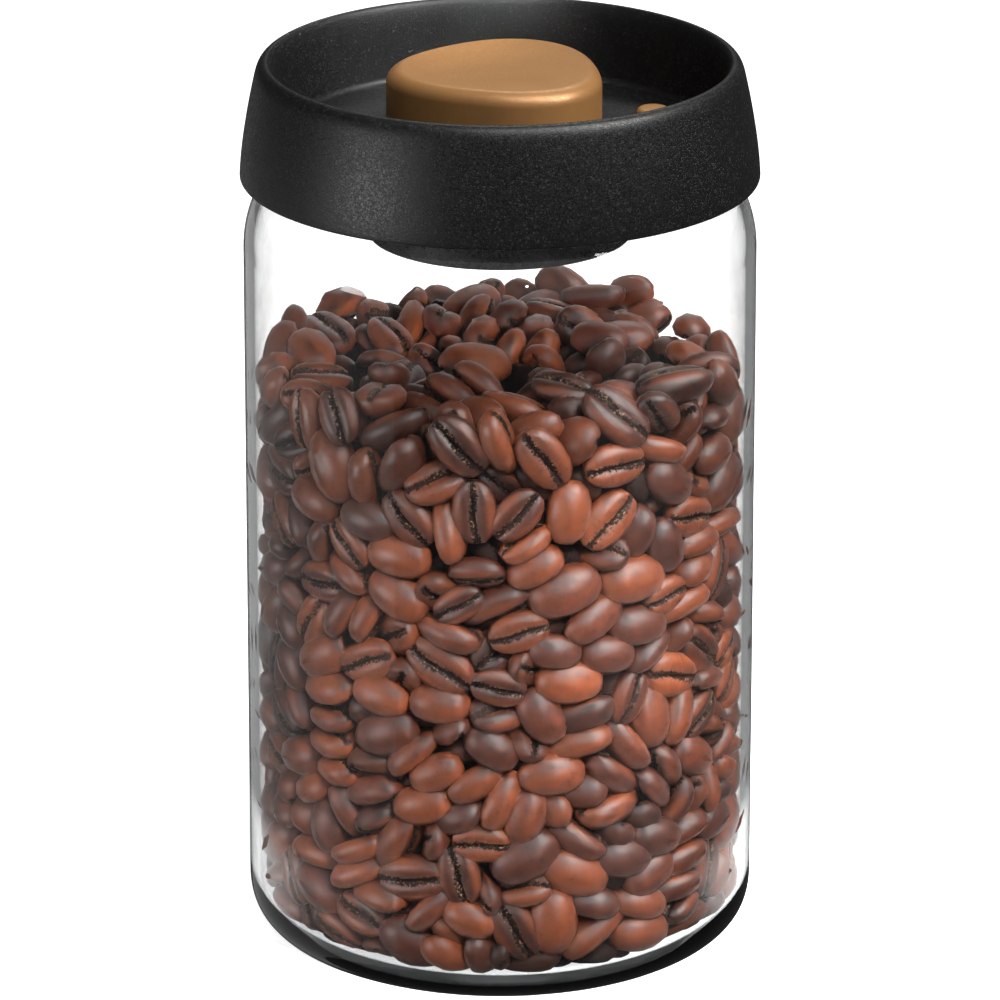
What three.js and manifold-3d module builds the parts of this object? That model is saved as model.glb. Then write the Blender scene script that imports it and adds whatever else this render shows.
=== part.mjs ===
// Vacuum food canister: a glass jar of coffee beans under a lid with a push pump and a release valve.
// Millimetres, +Z up. The origin is the centre of the jar's foot, on the surface it stands on.
import * as THREE from 'three';
import { mergeVertices } from 'three/addons/utils/BufferGeometryUtils.js';
import Module from 'manifold-3d';

const wasm = await Module();
wasm.setup();

// ---- Facets and clearances --------------------------------------------------------------------
const LARGE_ROUND = 36;
const PUMP_ROUND = 32;
const SMALL_ROUND = 16;
const WIRE_ROUND = 6;
const STEPS_PER_TURN = 10;
const ARC_STEPS = 3;
const CLEARANCE = 0.3;
const SEAL_CLEARANCE = 0.15;

// ---- Glass jar --------------------------------------------------------------------------------
const JAR_RADIUS = 52.5;
const JAR_WALL = 2.1;
const JAR_FLOOR = 3.2;
const FOOT_INNER_RADIUS = 28.5;
const FOOT_OUTER_RADIUS = 32.5;
const PUNT_RISE = 1.2;
const HEEL_HEIGHT = 14;
const HEEL_EXPONENT = 2.7;
const HEEL_STEPS = 6;
const SHOULDER_START = 149.5;
const SHOULDER_RADIUS = 24;
const SHOULDER_TURN = 37;
const NECK_FILLET = 3;
const RIM_TOP = 170.1;

// ---- Beans ------------------------------------------------------------------------------------
const FILL_EDGE_HEIGHT = 130.5;
const FILL_CROWN_HEIGHT = 132;
const FILL_GAP = 0.4;

// ---- Lid shell --------------------------------------------------------------------------------
const OVERALL_HEIGHT = 188.6;
const SKIRT_BOTTOM = 164.4;
const SKIRT_RADIUS = 53.13;
const SKIRT_FLARE = 0.0328;
const SKIRT_FLARE_POWER = 1.5;
const SKIRT_WALL = 1.9;
const SKIRT_STEPS = 5;
const SKIRT_SHOULDER = 185.6;
const CREST_RADIUS = 47.5;
const CAVITY_TOP = 180.4;
const DISH_TOP_RADIUS = 46.6;
const DISH_BOTTOM_RADIUS = 44.7;
const DISH_FLOOR = 172.4;
const DISH_WALL = 2;
const DISH_FILLET = 1.6;
const BOSS_CIRCLE = 36;
const BOSS_AZIMUTHS = [64, 154, 244, 334];
const BOSS_RADIUS = 3;
const BOSS_BOTTOM = 165.7;
const THREAD_RADIUS = 1.25;

// ---- Lid liner, gasket and screws ---------------------------------------------------------------
const LINER_RADIUS = 44.2;
const LINER_BOTTOM = 163.5;
const GROOVE_RADIUS = 42;
const GROOVE_BOTTOM = 165.3;
const GROOVE_TOP = 169.3;
const LIP_DEPTH = 1.1;
const SEAT_HEIGHT = 167.4;
const SCREW_HEAD_RADIUS = 2.6;
const SCREW_HEAD_HEIGHT = 1.5;
const SCREW_LENGTH = 7.6;
const SOCKET_RADIUS = 0.9;
const SOCKET_DEPTH = 0.8;

// ---- Pump ---------------------------------------------------------------------------------------
const PUMP_STROKE = 8.5;
const CYLINDER_RADIUS = 27;
const CYLINDER_BORE = 25.2;
const CYLINDER_BOTTOM = 152;
const CYLINDER_FLANGE_RADIUS = 28.9;
const CYLINDER_FLANGE_BOTTOM = 168.4;
const PLATE_BOTTOM = 155.8;
const PLATE_TOP = 157.6;
const RECESS_RADIUS = 22.3;
const INTAKE_RADIUS = 0.9;
const INTAKE_CIRCLE = 3.2;
const VALVE_RADIUS = 5.5;
const VALVE_STEM_RADIUS = 0.7;
const FILTER_THICKNESS = 0.9;
const COVER_THICKNESS = 1.2;
const COVER_SLOTS = 8;
const COVER_SLOT_CIRCLE = 12;
const COVER_SLOT_LENGTH = 10;
const COVER_SLOT_WIDTH = 1.6;
const BUTTON_RADIUS = 21.8;
const BUTTON_CLEARANCE = 0.35;
const BUTTON_LOBE = 1.5;
const BUTTON_LOBE_AZIMUTH = 70;
const BUTTON_TOP = 187.3;
const BUTTON_WALL = 1.8;
const BUTTON_ROUNDING = 3;
const PISTON_BOTTOM = PLATE_TOP + CLEARANCE + PUMP_STROKE;
const PISTON_TOP = 170;
const PISTON_WEB = 1.6;
const PISTON_RIM_RADIUS = 24.4;
const PISTON_GROOVE_RADIUS = 22;
const PISTON_TUBE_RADIUS = 10.5;
const PISTON_TUBE_WALL = 1.7;
const PISTON_TUBE_TOP = 182;
const EXHAUST_HOLES = 6;
const EXHAUST_CIRCLE = 13.2;
const PISTON_SCREW_RADIUS = 1.1;
const PISTON_SCREW_HEAD_RADIUS = 2.8;
const PISTON_SCREW_HEAD_HEIGHT = 1.7;
const PISTON_SCREW_LENGTH = 4.8;
const BUTTON_BOSS_RADIUS = 3.5;
const SPRING_RADIUS = 6.9;
const SPRING_WIRE = 0.5;
const SPRING_TURNS = 7;

// ---- Vacuum release -----------------------------------------------------------------------------
const RELEASE_X = 31.4;
const RELEASE_Y = 10.8;
const RELEASE_RADIUS = 3.6;
const RELEASE_TRAVEL = 1.8;
const RELEASE_TOP = 175.4;
const RELEASE_STEM_RADIUS = 1.2;
const RELEASE_STEM_BOTTOM = 160.2;
const RELEASE_SEAL_RADIUS = 3.2;
const RELEASE_FOOT_RADIUS = 2.4;
const RELEASE_FOOT = 1;
const RELEASE_SPRING_RADIUS = 2.05;
const RELEASE_SPRING_WIRE = 0.25;
const RELEASE_SPRING_TURNS = 5;
const RELEASE_POCKET = 2.9;
const RELEASE_POCKET_BOTTOM = 165.3;

// ---- Derived levels -----------------------------------------------------------------------------
const FLOOR_UNDERSIDE = DISH_FLOOR - DISH_WALL;
const LINER_TOP = FLOOR_UNDERSIDE - CLEARANCE;
const JAR_INNER_RADIUS = JAR_RADIUS - JAR_WALL;
const RELEASE_BASE = FLOOR_UNDERSIDE + RELEASE_TRAVEL;
const SHOULDER_CENTRE = JAR_RADIUS - SHOULDER_RADIUS;
const FILTER_BOTTOM = CYLINDER_BOTTOM + COVER_THICKNESS + CLEARANCE;

// ---- Outlines in the plane of radius and height ---------------------------------------------------

const at = (radius, height) => new THREE.Vector2(radius, height);

/** Points along a circular arc, its angles in degrees from the outward direction. */
function arc(centreRadius, centreHeight, radius, from, to, steps = ARC_STEPS) {
  return Array.from({ length: steps + 1 }, (_, i) => {
    const angle = THREE.MathUtils.degToRad(from + ((to - from) * i) / steps);
    return at(centreRadius + radius * Math.cos(angle), centreHeight + radius * Math.sin(angle));
  });
}

/** Points along a quadratic curve that leaves the start and meets the end towards one corner. */
function rounded(start, corner, end, steps = ARC_STEPS) {
  return new THREE.QuadraticBezierCurve(start, corner, end).getPoints(steps);
}

/** The soft corner between floor and wall: a quarter of a superellipse, from floor to wall. */
function heel(floorRadius, wallRadius, bottom, height) {
  return Array.from({ length: HEEL_STEPS + 1 }, (_, i) => {
    const angle = (Math.PI / 2) * (i / HEEL_STEPS);
    const out = Math.pow(Math.sin(angle), 2 / HEEL_EXPONENT);
    const up = 1 - Math.pow(Math.max(Math.cos(angle), 0), 2 / HEEL_EXPONENT);
    return at(floorRadius + (wallRadius - floorRadius) * out, bottom + height * up);
  });
}

/** The shoulder and neck, from the straight wall up to the neck, on the face that is inset. */
function shoulder(inset) {
  const turn = THREE.MathUtils.degToRad(SHOULDER_TURN);
  const reach = SHOULDER_RADIUS + NECK_FILLET;
  const filletRadius = SHOULDER_CENTRE + reach * Math.cos(turn);
  const filletHeight = SHOULDER_START + reach * Math.sin(turn);
  return [
    ...arc(SHOULDER_CENTRE, SHOULDER_START, SHOULDER_RADIUS - inset, 0, SHOULDER_TURN),
    ...arc(filletRadius, filletHeight, NECK_FILLET + inset, 180 + SHOULDER_TURN, 180),
  ];
}

const skirtRadius = (height) =>
  SKIRT_RADIUS - SKIRT_FLARE * Math.pow(height - SKIRT_BOTTOM, SKIRT_FLARE_POWER);

/** Points up the skirt's flare between two heights, on the face that is inset. */
function skirt(from, to, inset) {
  return Array.from({ length: SKIRT_STEPS + 1 }, (_, i) => {
    const height = from + ((to - from) * i) / SKIRT_STEPS;
    return at(skirtRadius(height) - inset, height);
  });
}

// ---- Solids -------------------------------------------------------------------------------------

/**
 * Turns an outline about Z. It runs outwards along the bottom, up the outside and back along the
 * top. An outline that doesn't start on the axis is a ring, and closes on itself.
 */
function turned(outline, segments = LARGE_ROUND) {
  const points = outline[0].x > 0 ? [...outline, outline[0]] : outline;
  return new THREE.LatheGeometry(points, segments).rotateX(Math.PI / 2);
}

/** A plain ring or, with no inner radius, a plain disc. */
function ring(innerRadius, outerRadius, bottom, top, segments = LARGE_ROUND) {
  return turned(
    [at(innerRadius, bottom), at(outerRadius, bottom), at(outerRadius, top), at(innerRadius, top)],
    segments,
  );
}

/** A round post or drill that stands at a point of the lid. */
function post(x, y, radius, bottom, top, segments = SMALL_ROUND) {
  return ring(0, radius, bottom, top, segments).translate(x, y, 0);
}

/** Swells a round shape into the button's three soft lobes. */
function lobed(geometry) {
  const position = geometry.getAttribute('position');
  const phase = THREE.MathUtils.degToRad(BUTTON_LOBE_AZIMUTH);
  for (let i = 0; i < position.count; i += 1) {
    const radius = Math.hypot(position.getX(i), position.getY(i));
    const angle = Math.atan2(position.getY(i), position.getX(i));
    const swell = BUTTON_LOBE * Math.cos(3 * (angle - phase)) * (radius / BUTTON_RADIUS) ** 2;
    position.setXY(i, (radius + swell) * Math.cos(angle), (radius + swell) * Math.sin(angle));
  }
  return geometry;
}

function solidOf(geometry) {
  const bare = geometry.clone();
  bare.deleteAttribute('normal');
  bare.deleteAttribute('uv');
  const merged = mergeVertices(bare);
  return new wasm.Manifold(
    new wasm.Mesh({
      numProp: 3,
      vertProperties: merged.getAttribute('position').array,
      triVerts: new Uint32Array(merged.index.array),
    }),
  );
}

function geometryOf(solid) {
  const mesh = solid.getMesh();
  const geometry = new THREE.BufferGeometry();
  geometry.setAttribute('position', new THREE.BufferAttribute(mesh.vertProperties, 3));
  geometry.setIndex(new THREE.BufferAttribute(mesh.triVerts, 1));
  geometry.computeVertexNormals();
  return geometry;
}

/** Joins the added shapes to the first and then cuts the removed shapes away. */
function machined(base, { added = [], removed = [] }) {
  const joined = added.reduce((solid, shape) => solid.add(solidOf(shape)), solidOf(base));
  return geometryOf(removed.reduce((solid, shape) => solid.subtract(solidOf(shape)), joined));
}

/** One shape at each of a number of even places on a circle about the pump's axis. */
function around(count, circle, shapeAt) {
  return Array.from({ length: count }, (_, i) => {
    const angle = (2 * Math.PI * i) / count;
    return shapeAt(circle * Math.cos(angle), circle * Math.sin(angle), angle);
  });
}

/** The centres of the four screws that hold the liner to the shell. */
const screwPlaces = BOSS_AZIMUTHS.map((azimuth) => {
  const angle = THREE.MathUtils.degToRad(azimuth);
  return [BOSS_CIRCLE * Math.cos(angle), BOSS_CIRCLE * Math.sin(angle)];
});

/** The centre line of a compression spring. */
class SpringCurve extends THREE.Curve {
  constructor(radius, bottom, top, turns) {
    super();
    this.radius = radius;
    this.bottom = bottom;
    this.top = top;
    this.turns = turns;
  }

  getPoint(t, target = new THREE.Vector3()) {
    const angle = 2 * Math.PI * this.turns * t;
    const height = this.bottom + (this.top - this.bottom) * t;
    return target.set(this.radius * Math.cos(angle), this.radius * Math.sin(angle), height);
  }
}

/** A round wire wound between two seats, which touch its lowest and highest points. */
function spring(radius, wire, bottom, top, turns) {
  const section = new THREE.Shape(around(WIRE_ROUND, wire, (x, y) => at(x, y)));
  return new THREE.ExtrudeGeometry(section, {
    steps: turns * STEPS_PER_TURN,
    extrudePath: new SpringCurve(radius, bottom + wire, top - wire, turns),
  });
}

// ---- Jar ----------------------------------------------------------------------------------------

function glassJar() {
  const punt = Array.from({ length: ARC_STEPS }, (_, i) => {
    const share = i / ARC_STEPS;
    return at(FOOT_INNER_RADIUS * share, PUNT_RISE * (1 - share ** 2));
  });
  const neckRadius = shoulder(0).at(-1).x;
  const lip = JAR_WALL / 2;
  return turned([
    ...punt,
    at(FOOT_INNER_RADIUS, 0),
    ...heel(FOOT_OUTER_RADIUS, JAR_RADIUS, 0, HEEL_HEIGHT),
    ...shoulder(0),
    ...arc(neckRadius - lip, RIM_TOP - lip, lip, 0, 180),
    ...shoulder(JAR_WALL).reverse(),
    ...heel(FOOT_OUTER_RADIUS - 1, JAR_INNER_RADIUS, JAR_FLOOR, HEEL_HEIGHT - JAR_WALL).reverse(),
    at(0, JAR_FLOOR),
  ]);
}

function coffeeBeanFill() {
  const bottom = JAR_FLOOR + FILL_GAP;
  const radius = JAR_INNER_RADIUS - FILL_GAP;
  const corner = heel(FOOT_OUTER_RADIUS - 1, radius, bottom, HEEL_HEIGHT - JAR_WALL);
  return turned([at(0, bottom), ...corner, at(radius, FILL_EDGE_HEIGHT), at(0, FILL_CROWN_HEIGHT)]);
}

// ---- Lid ----------------------------------------------------------------------------------------

function lidOuterShell() {
  const shoulderRadius = skirtRadius(SKIRT_SHOULDER);
  const dishSlope = (DISH_TOP_RADIUS - DISH_BOTTOM_RADIUS) / (SKIRT_SHOULDER - DISH_FLOOR);
  const dishRadius = (height) => DISH_BOTTOM_RADIUS + dishSlope * (height - DISH_FLOOR);
  const crest = at(CREST_RADIUS, OVERALL_HEIGHT);
  const body = turned([
    at(0, FLOOR_UNDERSIDE),
    at(DISH_BOTTOM_RADIUS + DISH_WALL, FLOOR_UNDERSIDE),
    at(dishRadius(CAVITY_TOP) + DISH_WALL, CAVITY_TOP),
    ...skirt(CAVITY_TOP, SKIRT_BOTTOM, SKIRT_WALL),
    ...skirt(SKIRT_BOTTOM, SKIRT_SHOULDER, 0),
    ...rounded(
      at(shoulderRadius, SKIRT_SHOULDER),
      at(shoulderRadius - 0.7, OVERALL_HEIGHT),
      crest,
    ).slice(1),
    ...rounded(
      crest,
      at(DISH_TOP_RADIUS + 0.2, OVERALL_HEIGHT),
      at(DISH_TOP_RADIUS, SKIRT_SHOULDER + 0.8),
      2,
    ).slice(1),
    ...rounded(
      at(dishRadius(DISH_FLOOR + DISH_FILLET), DISH_FLOOR + DISH_FILLET),
      at(DISH_BOTTOM_RADIUS, DISH_FLOOR),
      at(DISH_BOTTOM_RADIUS - DISH_FILLET, DISH_FLOOR),
      3,
    ),
    at(0, DISH_FLOOR),
  ]);
  const opening = lobed(ring(0, BUTTON_RADIUS + BUTTON_CLEARANCE, BOSS_BOTTOM, OVERALL_HEIGHT));
  const releaseHole = post(
    RELEASE_X,
    RELEASE_Y,
    RELEASE_RADIUS + CLEARANCE,
    BOSS_BOTTOM,
    OVERALL_HEIGHT,
    PUMP_ROUND,
  );
  const bosses = screwPlaces.map(([x, y]) =>
    post(x, y, BOSS_RADIUS, BOSS_BOTTOM, FLOOR_UNDERSIDE + 1),
  );
  const threads = screwPlaces.map(([x, y]) =>
    post(x, y, THREAD_RADIUS + CLEARANCE, BOSS_BOTTOM - 1, FLOOR_UNDERSIDE + 1),
  );
  return machined(body, { added: bosses, removed: [opening, releaseHole, ...threads] });
}

function lidInnerLiner() {
  const boreRadius = CYLINDER_RADIUS + CLEARANCE;
  const seatRadius = CYLINDER_FLANGE_RADIUS + CLEARANCE;
  const body = turned([
    at(boreRadius, LINER_BOTTOM),
    at(LINER_RADIUS - 0.6, LINER_BOTTOM),
    at(LINER_RADIUS, LINER_BOTTOM + 0.6),
    at(LINER_RADIUS, GROOVE_BOTTOM),
    at(GROOVE_RADIUS, GROOVE_BOTTOM),
    at(GROOVE_RADIUS, GROOVE_TOP),
    at(LINER_RADIUS, GROOVE_TOP),
    at(LINER_RADIUS, LINER_TOP),
    at(seatRadius, LINER_TOP),
    at(seatRadius, SEAT_HEIGHT),
    at(boreRadius, SEAT_HEIGHT),
  ]);
  const pockets = screwPlaces.flatMap(([x, y]) => [
    post(x, y, BOSS_RADIUS + CLEARANCE, BOSS_BOTTOM - CLEARANCE, LINER_TOP + 1),
    post(x, y, THREAD_RADIUS + CLEARANCE, LINER_BOTTOM - 1, LINER_TOP),
  ]);
  const release = [
    post(RELEASE_X, RELEASE_Y, RELEASE_POCKET, RELEASE_POCKET_BOTTOM, LINER_TOP + 1),
    post(RELEASE_X, RELEASE_Y, RELEASE_STEM_RADIUS + CLEARANCE, LINER_BOTTOM - 1, LINER_TOP),
  ];
  return machined(body, { removed: [...pockets, ...release] });
}

/** A ring with two lips that bear on the inside of the jar's neck. */
function neckGasket() {
  const inner = GROOVE_RADIUS + CLEARANCE;
  const lipRadius = JAR_INNER_NECK - SEAL_CLEARANCE;
  const bottom = GROOVE_BOTTOM + CLEARANCE;
  const top = GROOVE_TOP - CLEARANCE;
  const middle = (bottom + top) / 2;
  return turned([
    at(inner, bottom),
    at(lipRadius - LIP_DEPTH, bottom),
    at(lipRadius, bottom + LIP_DEPTH / 2),
    at(lipRadius - LIP_DEPTH, middle),
    at(lipRadius, top - LIP_DEPTH / 2),
    at(lipRadius - LIP_DEPTH, top),
    at(inner, top),
  ]);
}

/** A pan-head screw that points up, with a hexagon socket in its head. */
function panScrew(headRadius, headHeight, threadRadius, length) {
  const body = turned(
    [
      at(0, 0),
      at(headRadius - 0.5, 0),
      at(headRadius, 0.5),
      at(headRadius, headHeight),
      at(threadRadius, headHeight),
      at(threadRadius, headHeight + length - 0.6),
      at(threadRadius - 0.5, headHeight + length),
      at(0, headHeight + length),
    ],
    SMALL_ROUND,
  );
  return machined(body, { removed: [ring(0, SOCKET_RADIUS, -1, SOCKET_DEPTH, 6)] });
}

// ---- Pump ---------------------------------------------------------------------------------------

function pumpCylinder() {
  const body = turned(
    [
      at(RECESS_RADIUS, CYLINDER_BOTTOM),
      at(CYLINDER_RADIUS - 0.6, CYLINDER_BOTTOM),
      at(CYLINDER_RADIUS, CYLINDER_BOTTOM + 0.6),
      at(CYLINDER_RADIUS, CYLINDER_FLANGE_BOTTOM),
      at(CYLINDER_FLANGE_RADIUS, CYLINDER_FLANGE_BOTTOM),
      at(CYLINDER_FLANGE_RADIUS, LINER_TOP),
      at(CYLINDER_BORE, LINER_TOP),
      at(CYLINDER_BORE, PLATE_TOP),
    ],
    PUMP_ROUND,
  );
  const plate = ring(0, CYLINDER_RADIUS - 0.6, PLATE_BOTTOM, PLATE_TOP, PUMP_ROUND);
  const vents = around(4, INTAKE_CIRCLE, (x, y) =>
    post(x, y, INTAKE_RADIUS, PLATE_BOTTOM - 1, PLATE_TOP + 1, 10),
  );
  const stemHole = post(0, 0, VALVE_STEM_RADIUS + CLEARANCE, PLATE_BOTTOM - 1, PLATE_TOP + 1);
  return machined(body, { added: [plate], removed: [...vents, stemHole] });
}

/** A soft umbrella over the intake vents, held by the barb on its stem. */
function checkValve() {
  const seat = PLATE_TOP + CLEARANCE;
  const barbTop = PLATE_BOTTOM - CLEARANCE;
  return turned(
    [
      at(0, barbTop - 0.9),
      at(0.8, barbTop - 0.9),
      at(1.4, barbTop),
      at(VALVE_STEM_RADIUS, barbTop),
      at(VALVE_STEM_RADIUS, seat),
      at(VALVE_RADIUS, seat),
      at(VALVE_RADIUS - 0.4, seat + 0.6),
      at(0, seat + 1.2),
    ],
    SMALL_ROUND,
  );
}

function filterCover() {
  const body = ring(0, RECESS_RADIUS - CLEARANCE, CYLINDER_BOTTOM, FILTER_BOTTOM - CLEARANCE, PUMP_ROUND);
  const slots = around(COVER_SLOTS, COVER_SLOT_CIRCLE, (x, y, angle) =>
    new THREE.BoxGeometry(COVER_SLOT_LENGTH, COVER_SLOT_WIDTH, 4)
      .rotateZ(angle)
      .translate(x, y, CYLINDER_BOTTOM),
  );
  return machined(body, { removed: slots });
}

function pumpButtonCap() {
  const inside = BUTTON_RADIUS - BUTTON_WALL;
  const ceiling = BUTTON_TOP - BUTTON_WALL;
  const bottom = PISTON_TOP + CLEARANCE;
  const threadRadius = PISTON_SCREW_RADIUS + CLEARANCE;
  const bossBottom = PISTON_TUBE_TOP + CLEARANCE;
  return lobed(
    turned([
      at(0, ceiling - 0.4),
      at(threadRadius, ceiling - 0.4),
      at(threadRadius, bossBottom),
      at(BUTTON_BOSS_RADIUS, bossBottom),
      at(BUTTON_BOSS_RADIUS, ceiling),
      ...rounded(at(inside - 1.5, ceiling), at(inside, ceiling), at(inside, ceiling - 1.5), 2),
      at(inside, bottom),
      at(BUTTON_RADIUS, bottom),
      ...arc(BUTTON_RADIUS - BUTTON_ROUNDING, BUTTON_TOP - BUTTON_ROUNDING, BUTTON_ROUNDING, 0, 90),
      at(0, BUTTON_TOP),
    ]),
  );
}

/** A grooved disc, and the hollow tube on it that carries the button and takes the spring. */
function piston() {
  const tubeInside = PISTON_TUBE_RADIUS - PISTON_TUBE_WALL;
  const screwHole = PISTON_SCREW_RADIUS + CLEARANCE;
  const web = PISTON_TOP - PISTON_WEB;
  const body = turned(
    [
      at(tubeInside, PISTON_BOTTOM),
      at(PISTON_TUBE_RADIUS, PISTON_BOTTOM),
      at(PISTON_TUBE_RADIUS, web),
      at(PISTON_GROOVE_RADIUS - 1.5, web),
      at(PISTON_GROOVE_RADIUS - 1.5, PISTON_BOTTOM),
      at(PISTON_RIM_RADIUS - 1, PISTON_BOTTOM),
      at(PISTON_RIM_RADIUS - 1, PISTON_BOTTOM + 0.6),
      at(PISTON_GROOVE_RADIUS, PISTON_BOTTOM + 0.6),
      at(PISTON_GROOVE_RADIUS, PISTON_TOP - 0.8),
      at(PISTON_RIM_RADIUS, PISTON_TOP - 0.8),
      at(PISTON_RIM_RADIUS, PISTON_TOP),
      at(PISTON_TUBE_RADIUS, PISTON_TOP),
      at(PISTON_TUBE_RADIUS, PISTON_TUBE_TOP),
      at(screwHole, PISTON_TUBE_TOP),
      at(screwHole, PISTON_TUBE_TOP - PISTON_TUBE_WALL),
      at(tubeInside, PISTON_TUBE_TOP - PISTON_TUBE_WALL),
    ],
    PUMP_ROUND,
  );
  const holes = around(EXHAUST_HOLES, EXHAUST_CIRCLE, (x, y) =>
    post(x, y, 1, web - 1, PISTON_TOP + 1, 10),
  );
  return machined(body, { removed: holes });
}

/** The soft ring in the piston's groove, which flares down to the bore. */
function pistonCupSeal() {
  const bottom = PISTON_BOTTOM + 0.6 + CLEARANCE;
  const top = PISTON_TOP - 0.8 - CLEARANCE;
  const lip = CYLINDER_BORE - CLEARANCE;
  const inner = PISTON_GROOVE_RADIUS + CLEARANCE;
  return turned(
    [
      at(inner, bottom),
      at(lip - 0.8, bottom + 0.5),
      at(lip, bottom),
      at(lip, bottom + 0.5),
      at(lip - 0.9, top),
      at(inner, top),
    ],
    PUMP_ROUND,
  );
}

// ---- Vacuum release -------------------------------------------------------------------------------

function releaseButtonCap() {
  const socket = RELEASE_STEM_RADIUS + CLEARANCE;
  return turned(
    [
      at(0, RELEASE_BASE + 1.7),
      at(socket, RELEASE_BASE + 1.7),
      at(socket, RELEASE_BASE),
      at(RELEASE_RADIUS, RELEASE_BASE),
      ...rounded(
        at(RELEASE_RADIUS, RELEASE_TOP - 1.2),
        at(RELEASE_RADIUS - 0.1, RELEASE_TOP - 0.2),
        at(RELEASE_RADIUS - 1.4, RELEASE_TOP - 0.15),
        3,
      ),
      at(0, RELEASE_TOP),
    ],
    PUMP_ROUND,
  );
}

/** The pin from the cap down through the liner, with the foot that carries the seal. */
function releaseStem() {
  return turned(
    [
      at(0, RELEASE_STEM_BOTTOM),
      at(RELEASE_FOOT_RADIUS, RELEASE_STEM_BOTTOM),
      at(RELEASE_FOOT_RADIUS, RELEASE_STEM_BOTTOM + RELEASE_FOOT),
      at(RELEASE_STEM_RADIUS, RELEASE_STEM_BOTTOM + RELEASE_FOOT),
      at(RELEASE_STEM_RADIUS, RELEASE_BASE + 1.4),
      at(0, RELEASE_BASE + 1.4),
    ],
    SMALL_ROUND,
  );
}

function releaseValveSeal() {
  const bottom = RELEASE_STEM_BOTTOM + RELEASE_FOOT + CLEARANCE;
  const top = LINER_BOTTOM - CLEARANCE;
  const inner = RELEASE_STEM_RADIUS + CLEARANCE;
  return turned(
    [at(inner, bottom), at(RELEASE_SEAL_RADIUS, bottom), at(RELEASE_SEAL_RADIUS - 0.4, top), at(inner, top)],
    SMALL_ROUND,
  );
}

// ---- Finishes -------------------------------------------------------------------------------------

const finish = (color, roughness, metalness, opacity = 1) =>
  new THREE.MeshStandardMaterial({ color, roughness, metalness, opacity, transparent: opacity < 1 });

const clearGlass = () => finish(0xe6ecee, 0.05, 0, 0.3);
const blackPlastic = () => finish(0x1c1c1e, 0.6, 0);
const darkPlastic = () => finish(0x222326, 0.45, 0);
const goldPaint = () => finish(0xa68458, 0.35, 0.8);
const whitePlastic = () => finish(0xd9d6cf, 0.45, 0);
const silicone = () => finish(0x8f9294, 0.7, 0);
const steel = () => finish(0xb8bbc0, 0.3, 1);
const roastedBean = () => finish(0x7a4420, 0.6, 0);
const filterFelt = () => finish(0xcfc8ba, 0.95, 0);

// ---- Assembly ---------------------------------------------------------------------------------------

const JAR_INNER_NECK = shoulder(JAR_WALL).at(-1).x;

function part(name, geometry, material) {
  const mesh = new THREE.Mesh(geometry, material);
  mesh.name = name;
  return mesh;
}

function jar() {
  return new THREE.Group().add(
    part('glass_jar', glassJar(), clearGlass()),
    part('coffee_bean_fill', coffeeBeanFill(), roastedBean()),
  );
}

function lid() {
  const group = new THREE.Group().add(
    part('lid_outer_shell', lidOuterShell(), blackPlastic()),
    part('lid_inner_liner', lidInnerLiner(), darkPlastic()),
    part('neck_gasket', neckGasket(), silicone()),
    part('pump_cylinder', pumpCylinder(), darkPlastic()),
    part(
      'cylinder_seal_ring',
      ring(
        CYLINDER_RADIUS + CLEARANCE,
        CYLINDER_FLANGE_RADIUS,
        SEAT_HEIGHT + CLEARANCE,
        CYLINDER_FLANGE_BOTTOM - CLEARANCE,
        PUMP_ROUND,
      ),
      silicone(),
    ),
    part('check_valve', checkValve(), silicone()),
    part(
      'intake_filter',
      ring(0, RECESS_RADIUS - CLEARANCE, FILTER_BOTTOM, FILTER_BOTTOM + FILTER_THICKNESS, PUMP_ROUND),
      filterFelt(),
    ),
    part('filter_cover', filterCover(), darkPlastic()),
    part(
      'return_spring',
      spring(
        SPRING_RADIUS,
        SPRING_WIRE,
        PLATE_TOP + CLEARANCE,
        PISTON_TUBE_TOP - PISTON_TUBE_WALL - CLEARANCE,
        SPRING_TURNS,
      ),
      steel(),
    ),
  );
  screwPlaces.forEach(([x, y], i) => {
    const screw = part(
      `liner_screw_${i + 1}`,
      panScrew(SCREW_HEAD_RADIUS, SCREW_HEAD_HEIGHT, THREAD_RADIUS, SCREW_LENGTH),
      steel(),
    );
    screw.position.set(x, y, LINER_BOTTOM - CLEARANCE - SCREW_HEAD_HEIGHT);
    group.add(screw);
  });
  return group;
}

function pumpButton() {
  const screw = part(
    'piston_screw',
    panScrew(
      PISTON_SCREW_HEAD_RADIUS,
      PISTON_SCREW_HEAD_HEIGHT,
      PISTON_SCREW_RADIUS,
      PISTON_SCREW_LENGTH,
    ),
    steel(),
  );
  screw.position.z = PISTON_TUBE_TOP - PISTON_TUBE_WALL - CLEARANCE - PISTON_SCREW_HEAD_HEIGHT;
  return new THREE.Group().add(
    part('pump_button_cap', pumpButtonCap(), goldPaint()),
    part('piston', piston(), whitePlastic()),
    part('piston_cup_seal', pistonCupSeal(), silicone()),
    part(
      'exhaust_flap',
      ring(PISTON_TUBE_RADIUS + 0.5, 15.6, PISTON_TOP + CLEARANCE, PISTON_TOP + 1, PUMP_ROUND),
      silicone(),
    ),
    screw,
  );
}

function vacuumRelease() {
  const group = new THREE.Group().add(
    part('release_button_cap', releaseButtonCap(), goldPaint()),
    part('release_stem', releaseStem(), steel()),
    part('release_valve_seal', releaseValveSeal(), silicone()),
    part(
      'release_spring',
      spring(
        RELEASE_SPRING_RADIUS,
        RELEASE_SPRING_WIRE,
        RELEASE_POCKET_BOTTOM + CLEARANCE,
        RELEASE_BASE - CLEARANCE,
        RELEASE_SPRING_TURNS,
      ),
      steel(),
    ),
  );
  group.position.set(RELEASE_X, RELEASE_Y, 0);
  return group;
}

const canister = new THREE.Group();
canister.name = 'vacuum_food_canister';
canister.add(jar(), lid(), pumpButton(), vacuumRelease());

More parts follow.
